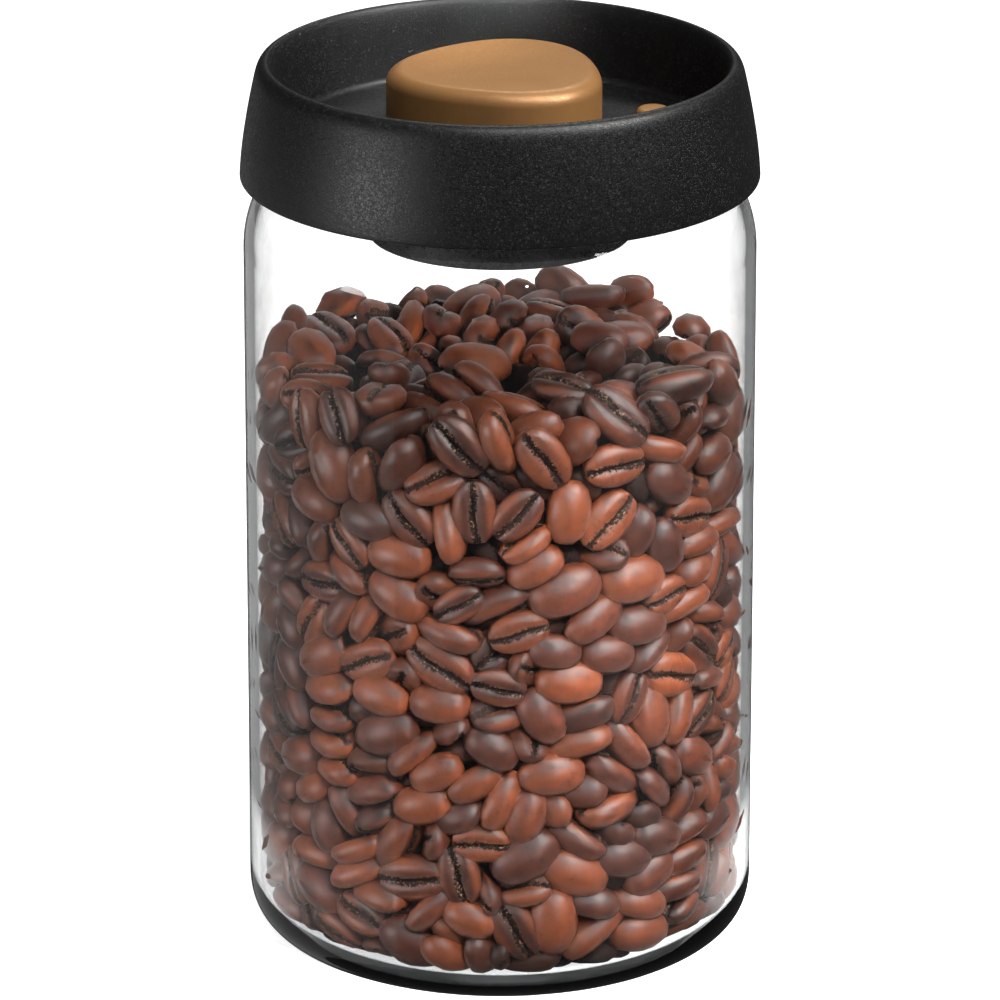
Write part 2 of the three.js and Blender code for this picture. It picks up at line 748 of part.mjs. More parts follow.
export default canister;
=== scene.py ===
"""Vacuum food canister: a glass jar of roasted coffee beans under a lid with a push pump.

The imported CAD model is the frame. Each sub-assembly is a class that turns its finely rounded
pieces from outlines, dresses them and rides them on the CAD bodies. Sizes are in millimetres and
become metres when a mesh is made, unless a docstring says otherwise.
"""

import logging
import math
from dataclasses import dataclass, field
from enum import Enum
from typing import Any, Callable, Iterable, Mapping, Sequence

import bmesh
import bpy
import numpy as np
from mathutils import Matrix, Vector

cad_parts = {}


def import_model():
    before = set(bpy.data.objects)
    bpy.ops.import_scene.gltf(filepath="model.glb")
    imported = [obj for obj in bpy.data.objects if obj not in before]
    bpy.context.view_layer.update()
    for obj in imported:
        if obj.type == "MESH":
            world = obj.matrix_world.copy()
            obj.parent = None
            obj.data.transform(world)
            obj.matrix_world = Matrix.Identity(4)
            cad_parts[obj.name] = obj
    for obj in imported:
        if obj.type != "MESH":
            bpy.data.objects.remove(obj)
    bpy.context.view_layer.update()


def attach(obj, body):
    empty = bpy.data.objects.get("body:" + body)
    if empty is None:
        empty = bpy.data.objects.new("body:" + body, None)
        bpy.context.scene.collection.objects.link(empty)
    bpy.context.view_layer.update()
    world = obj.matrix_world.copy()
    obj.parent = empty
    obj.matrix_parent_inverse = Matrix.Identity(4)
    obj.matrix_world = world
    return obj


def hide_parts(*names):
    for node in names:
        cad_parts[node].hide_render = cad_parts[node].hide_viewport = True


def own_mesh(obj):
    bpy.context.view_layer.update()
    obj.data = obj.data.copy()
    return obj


LOG = logging.getLogger("canister")
MM = 0.001

# The number of steps round large, middling and small pieces.
LARGE_ROUND = 224
PUMP_ROUND = 128
BUTTON_ROUND = 192
RELEASE_ROUND = 96
SMALL_ROUND = 40
COIL_ROUND = 28
WIRE_ROUND = 10

# Points closer than this many metres are one point, and TINY keeps a division from failing.
WELD = 1e-6
TINY = 1e-9

Solid = bmesh.types.BMesh
Socket = bpy.types.NodeSocket
Colour = tuple[float, float, float]
Point = tuple[float, float]

# The small button's place in the lid, to the right of the axis and behind it.
RELEASE_PLACE: Point = (31.4, 10.8)


class Body(Enum):
    """The CAD bodies that pieces ride on."""

    JAR = "jar"
    LID = "lid"
    PUMP_BUTTON = "pump_button"
    RELEASE_BUTTON = "release_button"


class Slot(Enum):
    """The record's material slots."""

    GLASS = "jar_glass"
    BEANS = "roasted_beans"
    LID = "lid_plastic"
    LINER = "liner_plastic"
    PISTON = "piston_plastic"
    SILICONE = "silicone"
    GOLD = "gold_paint"
    SCREW = "screw_steel"
    SPRING = "spring_steel"
    FELT = "filter_felt"


# ---- Shader nodes --------------------------------------------------------------------


class Signal:
    """A number that varies over a surface, held as the socket that gives it."""

    def __init__(self, recipe: "Recipe", socket: Socket) -> None:
        """Wraps a socket of the recipe's node tree."""
        self.recipe = recipe
        self.socket = socket

    def _with(self, operation: str, first: Any, second: Any) -> "Signal":
        """Adds one Math node.

        Args:
            operation: The Math node's operation.
            first: A Signal or a number.
            second: A Signal or a number.

        Returns:
            The node's result.
        """
        node = self.recipe.node("ShaderNodeMath", {"operation": operation}, {0: first, 1: second})
        return Signal(self.recipe, node.outputs[0])

    def __add__(self, other: Any) -> "Signal":
        """Returns the sum."""
        return self._with("ADD", self, other)

    __radd__ = __add__

    def __sub__(self, other: Any) -> "Signal":
        """Returns the difference."""
        return self._with("SUBTRACT", self, other)

    def __rsub__(self, other: Any) -> "Signal":
        """Returns the reflected difference."""
        return self._with("SUBTRACT", other, self)

    def __mul__(self, other: Any) -> "Signal":
        """Returns the product."""
        return self._with("MULTIPLY", self, other)

    def __abs__(self) -> "Signal":
        """Returns the size without its sign."""
        return self._with("ABSOLUTE", self, 0.0)

    def most(self, other: Any) -> "Signal":
        """Returns the larger of the two."""
        return self._with("MAXIMUM", self, other)

    def least(self, other: Any) -> "Signal":
        """Returns the smaller of the two."""
        return self._with("MINIMUM", self, other)

    def step(self, low: float, high: float) -> "Signal":
        """Rises smoothly from 0 at low to 1 at high, or falls if low is above high."""
        settings = {"interpolation_type": "SMOOTHSTEP"}
        flip = low > high
        ends = {"From Min": min(low, high), "From Max": max(low, high)}
        turned = {"To Min": 1.0, "To Max": 0.0} if flip else {"To Min": 0.0, "To Max": 1.0}
        node = self.recipe.node("ShaderNodeMapRange", settings, {"Value": self, **ends, **turned})
        return Signal(self.recipe, node.outputs["Result"])


class Recipe:
    """Builds the node tree of a material or of the world."""

    def __init__(
        self,
        name: str,
        tree: bpy.types.NodeTree | None = None,
        output: str = "ShaderNodeOutputMaterial",
    ) -> None:
        """Starts an empty node tree.

        Args:
            name: The material's name.
            tree: A world's tree that is built instead of a material's.
            output: The type of the output node.
        """
        self.material = None
        if tree is None:
            self.material = bpy.data.materials.new(name)
            self.material.use_nodes = True
            tree = self.material.node_tree
        self.tree = tree
        self.tree.nodes.clear()
        self.output = self.node(output)

    def node(
        self,
        kind: str,
        settings: Mapping[str, Any] | None = None,
        inputs: Mapping[Any, Any] | None = None,
    ) -> bpy.types.Node:
        """Adds a node.

        Args:
            kind: The node's type.
            settings: Properties that are set first; "stops" gives a colour ramp its stops.
            inputs: Values, colours, Signals or sockets by input name or number.

        Returns:
            The node.
        """
        made = self.tree.nodes.new(kind)
        for key, value in (settings or {}).items():
            if key == "stops":
                self._set_stops(made.color_ramp, value)
            else:
                setattr(made, key, value)
        for key, value in (inputs or {}).items():
            socket = made.inputs[key]
            if isinstance(value, Signal):
                value = value.socket
            if isinstance(value, Socket):
                self.tree.links.new(value, socket)
            elif isinstance(value, tuple) and socket.type == "RGBA" and len(value) == 3:
                socket.default_value = (*value, 1.0)
            else:
                socket.default_value = value
        return made

    @staticmethod
    def _set_stops(ramp: bpy.types.ColorRamp, stops: Sequence[tuple[float, Colour]]) -> None:
        """Gives a ramp its stops."""
        while len(ramp.elements) < len(stops):
            ramp.elements.new(1.0)
        for element, (place, colour) in zip(ramp.elements, stops):
            element.position = place
            element.color = (*colour, 1.0)

    def place(self) -> Socket:
        """Returns the object's own coordinates, in metres."""
        return self.node("ShaderNodeTexCoord").outputs["Object"]

    def attribute(self, name: str) -> bpy.types.Node:
        """Returns the node that reads a mesh attribute."""
        return self.node("ShaderNodeAttribute", {"attribute_name": name})

    def split(self, vector: Socket) -> tuple[Signal, Signal, Signal]:
        """Returns a vector's three parts."""
        node = self.node("ShaderNodeSeparateXYZ", inputs={"Vector": vector})
        return tuple(Signal(self, socket) for socket in node.outputs)

    def noise(
        self,
        size: float,
        detail: float = 2.0,
        rough: float = 0.5,
        vector: Socket | None = None,
    ) -> Signal:
        """Adds cloudy noise.

        Args:
            size: The size of one patch, in millimetres.
            detail: How many finer layers are added.
            rough: How strong the finer layers are.
            vector: Coordinates in metres, or the object's own.

        Returns:
            The noise, around 0.5.
        """
        inputs = {
            "Vector": vector or self.place(),
            "Scale": 1.0 / (size * MM),
            "Detail": detail,
            "Roughness": rough,
        }
        return Signal(self, self.node("ShaderNodeTexNoise", inputs=inputs).outputs["Fac"])

    def cells(self, size: float) -> Signal:
        """Returns a number for each cell of a pattern with cells of that size in millimetres."""
        inputs = {"Vector": self.place(), "Scale": 1.0 / (size * MM)}
        return self.split(self.node("ShaderNodeTexVoronoi", inputs=inputs).outputs["Color"])[0]

    def stretched(
        self, vector: Socket, scale: tuple[float, float, float], shift: Signal
    ) -> Socket:
        """Returns the vector scaled along each axis and moved along all three by the shift."""
        moved = self.node("ShaderNodeCombineXYZ", inputs={0: shift, 1: shift, 2: shift})
        inputs = {0: vector, 1: scale, 2: moved.outputs[0]}
        return self.node("ShaderNodeVectorMath", {"operation": "MULTIPLY_ADD"}, inputs).outputs[0]

    def wave(self, angle: Signal) -> Signal:
        """Returns the sine of an angle."""
        node = self.node("ShaderNodeMath", {"operation": "SINE"}, {0: angle})
        return Signal(self, node.outputs[0])

    def blend(self, share: Any, first: Any, second: Any) -> Socket:
        """Mixes two colours.

        Args:
            share: How much of the second colour shows, from 0 to 1.
            first: A colour or a colour socket.
            second: A colour or a colour socket.

        Returns:
            The mixed colour.
        """
        node = self.node("ShaderNodeMix", {"data_type": "RGBA"}, {0: share, 6: first, 7: second})
        return node.outputs[2]

    def ramp(self, share: Signal, stops: Sequence[tuple[float, Colour]]) -> Socket:
        """Returns the ramp's colour at that share."""
        return self.node("ShaderNodeValToRGB", {"stops": stops}, {"Fac": share}).outputs["Color"]

    def bump(self, height: Signal, depth: float, strength: float = 1.0) -> Socket:
        """Returns the normal of a surface raised by height times depth in millimetres."""
        inputs = {"Height": height, "Distance": depth * MM, "Strength": strength}
        return self.node("ShaderNodeBump", inputs=inputs).outputs["Normal"]

    def principled(self, **inputs: Any) -> Socket:
        """Adds a Principled shader, with spaces in its input names written as underscores."""
        named = {key.replace("_", " "): value for key, value in inputs.items()}
        return self.node("ShaderNodeBsdfPrincipled", inputs=named).outputs["BSDF"]

    def surface(self, **inputs: Any) -> bpy.types.Material:
        """Finishes the material with one Principled shader and returns it."""
        return self.finish(self.principled(**inputs))

    def finish(self, shader: Socket) -> bpy.types.Material:
        """Sends the shader to the output and returns the material."""
        self.tree.links.new(shader, self.output.inputs["Surface"])
        return self.material


# ---- Finishes ------------------------------------------------------------------------


@dataclass(frozen=True)
class GrainedPlastic:
    """Moulded plastic with a spark-eroded grain, and painted glints as pale specks in its colour.
    """

    name: str
    colour: Colour
    glint: Colour
    grain: float = 0.5
    depth: float = 0.05
    roughness: float = 0.42
    glints: float = 0.6
    gloss: float = 0.5

    def material(self) -> bpy.types.Material:
        """Returns the material."""
        recipe = Recipe(self.name)
        coarse = recipe.noise(self.grain, 3.0, 0.6)
        cloud = recipe.noise(22.0, 2.0)
        spark = recipe.cells(self.grain * 0.9)
        # Painted glints: a few grain cells are blended towards the paler glint colour.
        glint = spark.step(0.93, 0.99) * self.glints
        colour = recipe.blend(glint * (0.3 + cloud * 0.9), self.colour, self.glint)
        return recipe.surface(
            Base_Color=colour,
            Roughness=self.roughness + (cloud - 0.5) * 0.12 + (spark - 0.5) * 0.24,
            Specular_IOR_Level=self.gloss,
            Normal=recipe.bump(coarse + spark * 0.5, self.depth),
        )


@dataclass(frozen=True)
class SatinPaint:
    """Metallic paint with fine flake, mottled with a darker tone."""

    name: str
    colour: Colour
    shade: Colour
    flake: float = 0.35
    metallic: float = 0.35
    roughness: float = 0.42

    def material(self) -> bpy.types.Material:
        """Returns the material."""
        recipe = Recipe(self.name)
        cloud = recipe.noise(7.0, 3.0, 0.55)
        flake = recipe.cells(self.flake)
        colour = recipe.blend(cloud.step(0.35, 0.75) * 0.35 + flake * 0.15, self.colour, self.shade)
        return recipe.surface(
            Base_Color=colour,
            Metallic=self.metallic,
            Roughness=self.roughness + (flake - 0.5) * 0.12,
            Normal=recipe.bump(recipe.noise(0.45, 2.0) + flake * 0.4, 0.012),
        )


@dataclass(frozen=True)
class ClearGlass:
    """Clear borosilicate glass that darkens slightly along a long path."""

    name: str
    tint: Colour = (0.80, 0.84, 0.85)
    density: float = 60.0
    index: float = 1.47

    def material(self) -> bpy.types.Material:
        """Returns the material."""
        recipe = Recipe(self.name)
        path = recipe.node("ShaderNodeLightPath").outputs
        glass = recipe.principled(
            Base_Color=(1.0, 1.0, 1.0),
            Roughness=0.0,
            IOR=self.index,
            Transmission_Weight=1.0,
            Normal=recipe.bump(recipe.noise(9.0, 1.0), 0.01, 0.25),
        )
        clear = recipe.node("ShaderNodeBsdfTransparent", inputs={"Color": (1.0, 1.0, 1.0)})
        mixed = recipe.node(
            "ShaderNodeMixShader",
            inputs={0: path["Is Shadow Ray"], 1: glass, 2: clear.outputs["BSDF"]},
        )
        depth = {"Color": self.tint, "Density": self.density}
        volume = recipe.node("ShaderNodeVolumeAbsorption", inputs=depth)
        recipe.tree.links.new(volume.outputs["Volume"], recipe.output.inputs["Volume"])
        return recipe.finish(mixed.outputs["Shader"])


@dataclass(frozen=True)
class RoastedBean:
    """A roasted bean's skin, from its own coordinates and tone, with painted shade by its depth."""

    name: str
    dark: Colour = (0.0085, 0.0020, 0.0010)
    brown: Colour = (0.042, 0.0090, 0.0034)
    amber: Colour = (0.145, 0.0330, 0.0088)
    # Near-black painted shade, used in the crease and on beans deep in the heap.
    crease: Colour = (0.004, 0.0015, 0.001)
    chaff: Colour = (0.46, 0.25, 0.13)
    fold_scale: tuple[float, float, float] = (0.0015, 0.0005, 0.0009)
    slit_edges: Point = (0.95, 0.45)
    slit_sway: float = 0.28
    relief: float = 0.32
    sheen: float = 0.95
    sheen_roughness: float = 0.33
    sheen_index: float = 1.70

    def material(self) -> bpy.types.Material:
        """Returns the material."""
        recipe = Recipe(self.name)
        tone = Signal(recipe, recipe.attribute("bean_tone").outputs["Fac"])
        # Painted shade, from 0 at the glass and the air to 1 for beans deep in the heap.
        depth = Signal(recipe, recipe.attribute("bean_painted_shade").outputs["Fac"])
        local = recipe.attribute("bean_place").outputs["Vector"]
        along, across, up = recipe.split(local)
        folds = recipe.noise(1.0, 3.0, 0.6, recipe.stretched(local, self.fold_scale, tone))
        mottle = recipe.noise(1.9, 3.0, 0.62)
        pits = recipe.noise(0.55, 3.0, 0.6)
        face = up.step(0.7, 1.6)
        skin = recipe.ramp(
            tone * 0.60 + (mottle - 0.5) * 0.75 + (folds - 0.5) * 0.4 + 0.17,
            [(0.0, self.dark), (0.38, self.brown), (1.0, self.amber)],
        )
        sway = recipe.wave(along * 0.62 + tone * 6.0) * self.slit_sway
        ragged = abs(across + sway) + (folds - 0.5) * 1.7 + (pits - 0.5) * 0.5
        slit = ragged.step(*self.slit_edges) * up.step(0.1, 0.9)
        rim = abs(across).step(2.0, 3.4) * face
        # Painted shade in the furrows, where the folds' bump is lowest on the flat face.
        furrow_shade = folds.step(0.40, 0.30) * face * 0.55
        flecks = pits.step(0.57, 0.66) * abs(across).step(1.5, 0.4) * face
        skin = recipe.blend(rim * 0.45, skin, self.amber)
        skin = recipe.blend(furrow_shade, skin, self.dark)
        # Painted shade in the crease: the slit is blended almost to black.
        skin = recipe.blend(slit * 0.96, skin, self.crease)
        skin = recipe.blend(flecks * 0.5, skin, self.chaff)
        # Painted shade: beans deep in the heap are blended almost to the crease's near-black.
        skin = recipe.blend(depth * 0.96, skin, self.crease)
        height = folds * (0.10 + face * 0.8) + pits * face * 0.06 - slit * 0.8
        # Painted shade also takes the sheen off the crease and off beans deep in the heap.
        return recipe.surface(
            Base_Color=skin,
            Roughness=0.33 + (mottle - 0.5) * 0.4 + slit * 0.4 + depth * 0.5,
            Specular_IOR_Level=0.12,
            Coat_Weight=(1.0 - slit) * (1.0 - depth) * self.sheen,
            Coat_Roughness=self.sheen_roughness,
            Coat_IOR=self.sheen_index,
            Normal=recipe.bump(height, self.relief, 0.9),
        )


@dataclass(frozen=True)
class Silicone:
    """Soft moulded silicone with a faint bloom of dust."""

    name: str
    colour: Colour
    bloom: Colour

    def material(self) -> bpy.types.Material:
        """Returns the material."""
        recipe = Recipe(self.name)
        cloud = recipe.noise(4.0, 3.0)
        return recipe.surface(
            Base_Color=recipe.blend(cloud.step(0.35, 0.75), self.colour, self.bloom),
            Roughness=0.55 + (cloud - 0.5) * 0.3,
            Normal=recipe.bump(recipe.noise(0.4, 2.0), 0.02),
        )


@dataclass(frozen=True)
class Steel:
    """Drawn or turned steel with fine marks."""

    name: str
    colour: Colour
    roughness: float

    def material(self) -> bpy.types.Material:
        """Returns the material."""
        recipe = Recipe(self.name)
        marks = recipe.noise(0.25, 2.0)
        return recipe.surface(
            Base_Color=recipe.blend(recipe.noise(2.0), self.colour, (0.42, 0.42, 0.43)),
            Metallic=1.0,
            Roughness=self.roughness + (marks - 0.5) * 0.2,
            Normal=recipe.bump(marks, 0.01),
        )


@dataclass(frozen=True)
class PressedFelt:
    """Pressed filter felt, a tangle of pale fibres."""

    name: str
    colour: Colour
    fibre: Colour

    def material(self) -> bpy.types.Material:
        """Returns the material."""
        recipe = Recipe(self.name)
        tangle = recipe.noise(0.5, 5.0, 0.75)
        return recipe.surface(
            Base_Color=recipe.blend(tangle.step(0.35, 0.65), self.colour, self.fibre),
            Roughness=0.95,
            Normal=recipe.bump(tangle, 0.25),
        )


class Finishes:
    """Every finish of the canister, one material for each slot."""

    def __init__(self) -> None:
        """Makes the materials."""
        silicone = Silicone("grey silicone", (0.20, 0.21, 0.22), (0.30, 0.31, 0.32))
        made = {
            Slot.GLASS: ClearGlass("clear glass"),
            Slot.BEANS: RoastedBean("roasted bean"),
            Slot.LID: GrainedPlastic(
                "black grained plastic",
                colour=(0.0038, 0.0038, 0.0040),
                glint=(0.045, 0.045, 0.045),
                grain=0.34,
                gloss=0.40,
            ),
            Slot.LINER: GrainedPlastic(
                "dark smooth plastic",
                colour=(0.012, 0.012, 0.014),
                glint=(0.03, 0.03, 0.03),
                grain=0.3,
                depth=0.012,
                roughness=0.36,
                glints=0.3,
            ),
            Slot.PISTON: GrainedPlastic(
                "pale plastic",
                colour=(0.62, 0.60, 0.55),
                glint=(0.72, 0.70, 0.66),
                grain=0.4,
                depth=0.01,
                roughness=0.4,
                glints=0.3,
            ),
            Slot.SILICONE: silicone,
            Slot.GOLD: SatinPaint("satin gold paint", (0.34, 0.168, 0.058), (0.27, 0.130, 0.042)),
            Slot.SCREW: Steel("screw steel", (0.60, 0.61, 0.63), 0.30),
            Slot.SPRING: Steel("spring steel", (0.66, 0.67, 0.69), 0.16),
            Slot.FELT: PressedFelt("filter felt", (0.50, 0.46, 0.38), (0.74, 0.70, 0.62)),
        }
        self.materials = {slot: finish.material() for slot, finish in made.items()}


# ---- Making meshes -------------------------------------------------------------------


@dataclass
class Outline:
    """A cross-section in the plane of radius and height, in millimetres, that is spun about Z.

    It runs outwards along the bottom, up the outside and back along the top. One that starts off
    the axis closes on itself and makes a ring.
    """

    corners: list[tuple[float, float, float]] = field(default_factory=list)

    def to(self, radius: float, height: float, rounding: float = 0.0) -> "Outline":
        """Adds a corner, rounded off from that distance on each side of it.

        Args:
            radius: The corner's distance from the axis.
            height: The corner's height.
            rounding: How far from the corner its rounding starts.

        Returns:
            The outline.
        """
        self.corners.append((radius, height, rounding))
        return self

    def along(self, points: Iterable[Point]) -> "Outline":
        """Adds the points of a curve and returns the outline."""
        for radius, height in points:
            self.to(radius, height)
        return self

    def spun(self, segments: int, steps: int = 5) -> Solid:
        """Spins the outline into a closed solid.

        Args:
            segments: The number of steps round the axis.
            steps: The number of steps in each rounded corner.

        Returns:
            The solid's mesh.
        """
        bm = bmesh.new()
        verts = [bm.verts.new((r * MM, 0.0, z * MM)) for r, z, _ in self.corners]
        links = list(zip(verts, verts[1:]))
        if self.corners[0][0] > 0.0:
            links.append((verts[-1], verts[0]))
        for pair in links:
            bm.edges.new(pair)
        for rounding in sorted({corner[2] for corner in self.corners if corner[2] > 0.0}):
            bmesh.ops.bevel(
                bm,
                geom=[v for v, corner in zip(verts, self.corners) if corner[2] == rounding],
                offset=rounding * MM,
                offset_type="OFFSET",
                affect="VERTICES",
                segments=steps,
                profile=0.5,
                material=-1,
            )
        spin(bm, bm.verts[:] + bm.edges[:], math.tau, segments, use_merge=True)
        bmesh.ops.remove_doubles(bm, verts=bm.verts, dist=WELD)
        bmesh.ops.recalc_face_normals(bm, faces=bm.faces)
        return bm


def profile(*corners: tuple[float, ...]) -> Outline:
    """Gives the outline with those corners, each a radius, a height and perhaps a rounding."""
    outline = Outline()
    for corner in corners:
        outline.to(*corner)
    return outline


def spin(bm: Solid, geom: list[Any], angle: float, steps: int, **more: Any) -> None:
    """Sweeps some of a mesh about the Z axis.

    Args:
        bm: The mesh.
        geom: The vertices, edges or faces that are swept.
        angle: The whole turn, in radians.
        steps: The number of steps in it.
        **more: Further settings of the sweep.
    """
    origin, up = (0.0, 0.0, 0.0), (0.0, 0.0, 1.0)
    bmesh.ops.spin(bm, geom=geom, cent=origin, axis=up, angle=angle, steps=steps, **more)


def shift(bm: Solid, x: float, y: float, z: float) -> None:
    """Moves a mesh by that many millimetres."""
    bmesh.ops.translate(bm, vec=Vector((x, y, z)) * MM, verts=bm.verts)


def bend(start: Point, corner: Point, end: Point, steps: int = 8) -> list[Point]:
    """Gives points along a curve that leaves the start and meets the end towards one corner."""
    shares = [i / steps for i in range(steps + 1)]
    ends = list(zip(start, corner, end))
    return [
        tuple((1 - t) ** 2 * a + 2 * t * (1 - t) * b + t * t * c for a, b, c in ends)
        for t in shares
    ]


def arc(centre: Point, radius: float, start: float, end: float, steps: int = 10) -> list[Point]:
    """Gives points along a circular arc, its angles in degrees from the outward direction."""
    angles = [math.radians(start + (end - start) * i / steps) for i in range(steps + 1)]
    return [(centre[0] + radius * math.cos(a), centre[1] + radius * math.sin(a)) for a in angles]


def plain_ring(inner: float, outer: float, bottom: float, top: float, edge: float = 0.0) -> Outline:
    """Gives the outline of a ring or, with no inner radius, of a disc, with its edges eased."""
    outline = Outline().to(inner, bottom, edge if inner else 0.0).to(outer, bottom, edge)
    return outline.to(outer, top, edge).to(inner, top, edge if inner else 0.0)


def post(
    x: float, y: float, radius: float, bottom: float, top: float, segments: int = SMALL_ROUND
) -> Solid:
    """Makes a round post or drill that stands at a point of the lid.

    Args:
        x: The post's place to the right of the axis.
        y: The post's place behind the axis.
        radius: The post's radius.
        bottom: The height of its foot.
        top: The height of its top.
        segments: The number of sides.

    Returns:
        The post's mesh.
    """
    bm = bmesh.new()
    size = radius * MM
    bmesh.ops.create_cone(
        bm, cap_ends=True, segments=segments, radius1=size, radius2=size, depth=(top - bottom) * MM
    )
    shift(bm, x, y, (bottom + top) / 2)
    return bm


def loose_object(name: str, bm: Solid) -> bpy.types.Object:
    """Puts a mesh into an object of its own and frees the bmesh."""
    mesh = bpy.data.meshes.new(name)
    bm.to_mesh(mesh)
    bm.free()
    made = bpy.data.objects.new(name, mesh)
    bpy.context.scene.collection.objects.link(made)
    return made


def combine(base: Solid, tools: Sequence[Solid], operation: str) -> Solid:
    """Joins or cuts a solid by others.

    Args:
        base: The solid that is worked on; it is freed.
        tools: The solids that are added or cut away; they are freed.
        operation: UNION or DIFFERENCE.

    Returns:
        The worked solid.
    """
    body = loose_object("base", base)
    joined = bmesh.new()
    for tool in tools:
        scratch = bpy.data.meshes.new("tool")
        tool.to_mesh(scratch)
        tool.free()
        joined.from_mesh(scratch)
        bpy.data.meshes.remove(scratch)
    cutter = loose_object("cutter", joined)
    modifier = body.modifiers.new("work", "BOOLEAN")
    modifier.object, modifier.operation, modifier.solver = cutter, operation, "EXACT"
    bm = bmesh.new()
    bm.from_object(body, bpy.context.evaluated_depsgraph_get())
    for scratch_object in (body, cutter):
        mesh = scratch_object.data
        bpy.data.objects.remove(scratch_object)
        bpy.data.meshes.remove(mesh)
    bmesh.ops.remove_doubles(bm, verts=bm.verts, dist=WELD)
    return bm


def ride_on(piece: bpy.types.Object, body: Body, slot: Slot, finishes: Finishes) -> None:
    """Gives a piece its body and the finish of its slot."""
    piece.data.materials.clear()
    piece.data.materials.append(finishes.materials[slot])
    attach(piece, body.value)


def stand_for(
    node: str,
    bm: Solid,
    body: Body,
    slot: Slot,
    finishes: Finishes,
    sharp: float = 32.0,
) -> bpy.types.Object:
    """Makes the finely rounded piece that stands for a CAD node.

    Args:
        node: The CAD node's name.
        bm: The piece's mesh; it is freed.
        body: The body it rides on.
        slot: The slot of its finish.
        finishes: The materials.
        sharp: The angle in degrees past which an edge stays sharp.

    Returns:
        The piece.
    """
    for face in bm.faces:
        face.smooth = True
    for edge in bm.edges:
        edge.smooth = edge.calc_face_angle(0.0) < math.radians(sharp)
    piece = loose_object(f"{node}_fine", bm)
    ride_on(piece, body, slot, finishes)
    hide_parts(node)
    LOG.info("%s: %d faces on body %s", piece.name, len(piece.data.polygons), body.value)
    return piece


# ---- Jar -----------------------------------------------------------------------------


@dataclass(frozen=True)
class JarShape:
    """The jar's sizes and the curves that its glass and its contents share."""

    radius: float = 52.5
    wall: float = 2.1
    floor: float = 3.2
    foot_inner: float = 28.5
    foot_outer: float = 32.5
    punt_rise: float = 1.2
    heel_height: float = 14.0
    heel_power: float = 2.7
    shoulder_start: float = 149.5
    shoulder_radius: float = 24.0
    shoulder_turn: float = 37.0
    neck_fillet: float = 3.0
    rim_top: float = 170.1

    @property
    def inner_radius(self) -> float:
        """The radius of the straight wall's inside."""
        return self.radius - self.wall

    def heel(
        self, floor_radius: float, wall_radius: float, bottom: float, height: float, steps: int = 26
    ) -> list[Point]:
        """Gives the soft corner from the floor up to the wall, a quarter of a superellipse."""
        angles = [math.pi / 2 * i / steps for i in range(steps + 1)]
        power = 2 / self.heel_power
        return [
            (
                floor_radius + (wall_radius - floor_radius) * math.sin(a) ** power,
                bottom + height * (1 - max(math.cos(a), 0.0) ** power),
            )
            for a in angles
        ]

    def shoulder(self, inset: float) -> list[Point]:
        """Gives the shoulder and neck on the face that is inset from the outside."""
        turn = math.radians(self.shoulder_turn)
        centre = self.radius - self.shoulder_radius
        reach = self.shoulder_radius + self.neck_fillet
        fillet = (centre + reach * math.cos(turn), self.shoulder_start + reach * math.sin(turn))
        middle = (centre, self.shoulder_start)
        bow = arc(middle, self.shoulder_radius - inset, 0.0, self.shoulder_turn, 14)
        return bow + arc(fillet, self.neck_fillet + inset, 180.0 + self.shoulder_turn, 180.0, 6)

    def glass(self) -> Outline:
        """Gives the whole wall's outline, from the punt round the rim to the floor inside."""
        lip = self.wall / 2
        neck = self.shoulder(0.0)[-1][0]
        inner_height = self.heel_height - self.wall
        inner_heel = self.heel(self.foot_outer - 1, self.inner_radius, self.floor, inner_height)
        punt = [
            (self.foot_inner * t, self.punt_rise * (1 - t * t)) for t in (i / 10 for i in range(10))
        ]
        return (
            Outline()
            .along(punt)
            .to(self.foot_inner, 0.0, 0.4)
            .along(self.heel(self.foot_outer, self.radius, 0.0, self.heel_height))
            .along(self.shoulder(0.0))
            .along(arc((neck - lip, self.rim_top - lip), lip, 0.0, 180.0))
            .along(reversed(self.shoulder(self.wall)))
            .along(reversed(inner_heel))
            .to(0.0, self.floor)
        )


@dataclass(frozen=True)
class BeanShape:
    """One roasted bean: a rounded back, and a flat face with a crease along it."""

    length: float = 13.3
    width: float = 9.1
    height: float = 6.2
    rings: int = 8
    sway: float = 0.05

    # Across and up from the middle of each line that runs from tip to tip, as shares of the half
    # width and the height: the crease's floor, its lips, the flat face, the edge, and the back.
    lines: tuple[Point, ...] = (
        (0.0, 0.12),
        (0.13, 0.34),
        (0.62, 0.37),
        (0.96, 0.16),
        (0.97, -0.14),
        (0.66, -0.46),
        (0.0, -0.62),
    )

    def mesh(self) -> bpy.types.Mesh:
        """Shapes a sphere of a few dozen faces into a bean, in metres.

        Returns:
            The bean's mesh, its long axis along X and its flat face up.
        """
        bm = bmesh.new()
        around = 2 * len(self.lines) - 2
        bmesh.ops.create_uvsphere(bm, u_segments=around, v_segments=self.rings, radius=1.0)
        ring = list(self.lines) + [(-y, z) for y, z in reversed(self.lines[1:-1])]
        for vert in bm.verts:
            along = vert.co.z
            spread = math.hypot(vert.co.x, vert.co.y)
            place = round(math.atan2(vert.co.y, vert.co.x) / math.tau * around) % around
            across, up = ring[place]
            full = spread**0.82
            end = math.copysign(abs(along) ** 0.94, along)
            if abs(across) < 0.2 and up > 0.0:
                across += self.sway * math.sin(2.6 * along)
            vert.co = Vector((
                end * self.length / 2,
                full * across * self.width / 2,
                full * up * self.height + 0.05 * self.height * (1 - full),
            )) * MM
        bmesh.ops.recalc_face_normals(bm, faces=bm.faces)
        for face in bm.faces:
            face.smooth = True
        mesh = bpy.data.meshes.new("bean")
        bm.to_mesh(mesh)
        bm.free()
        return mesh


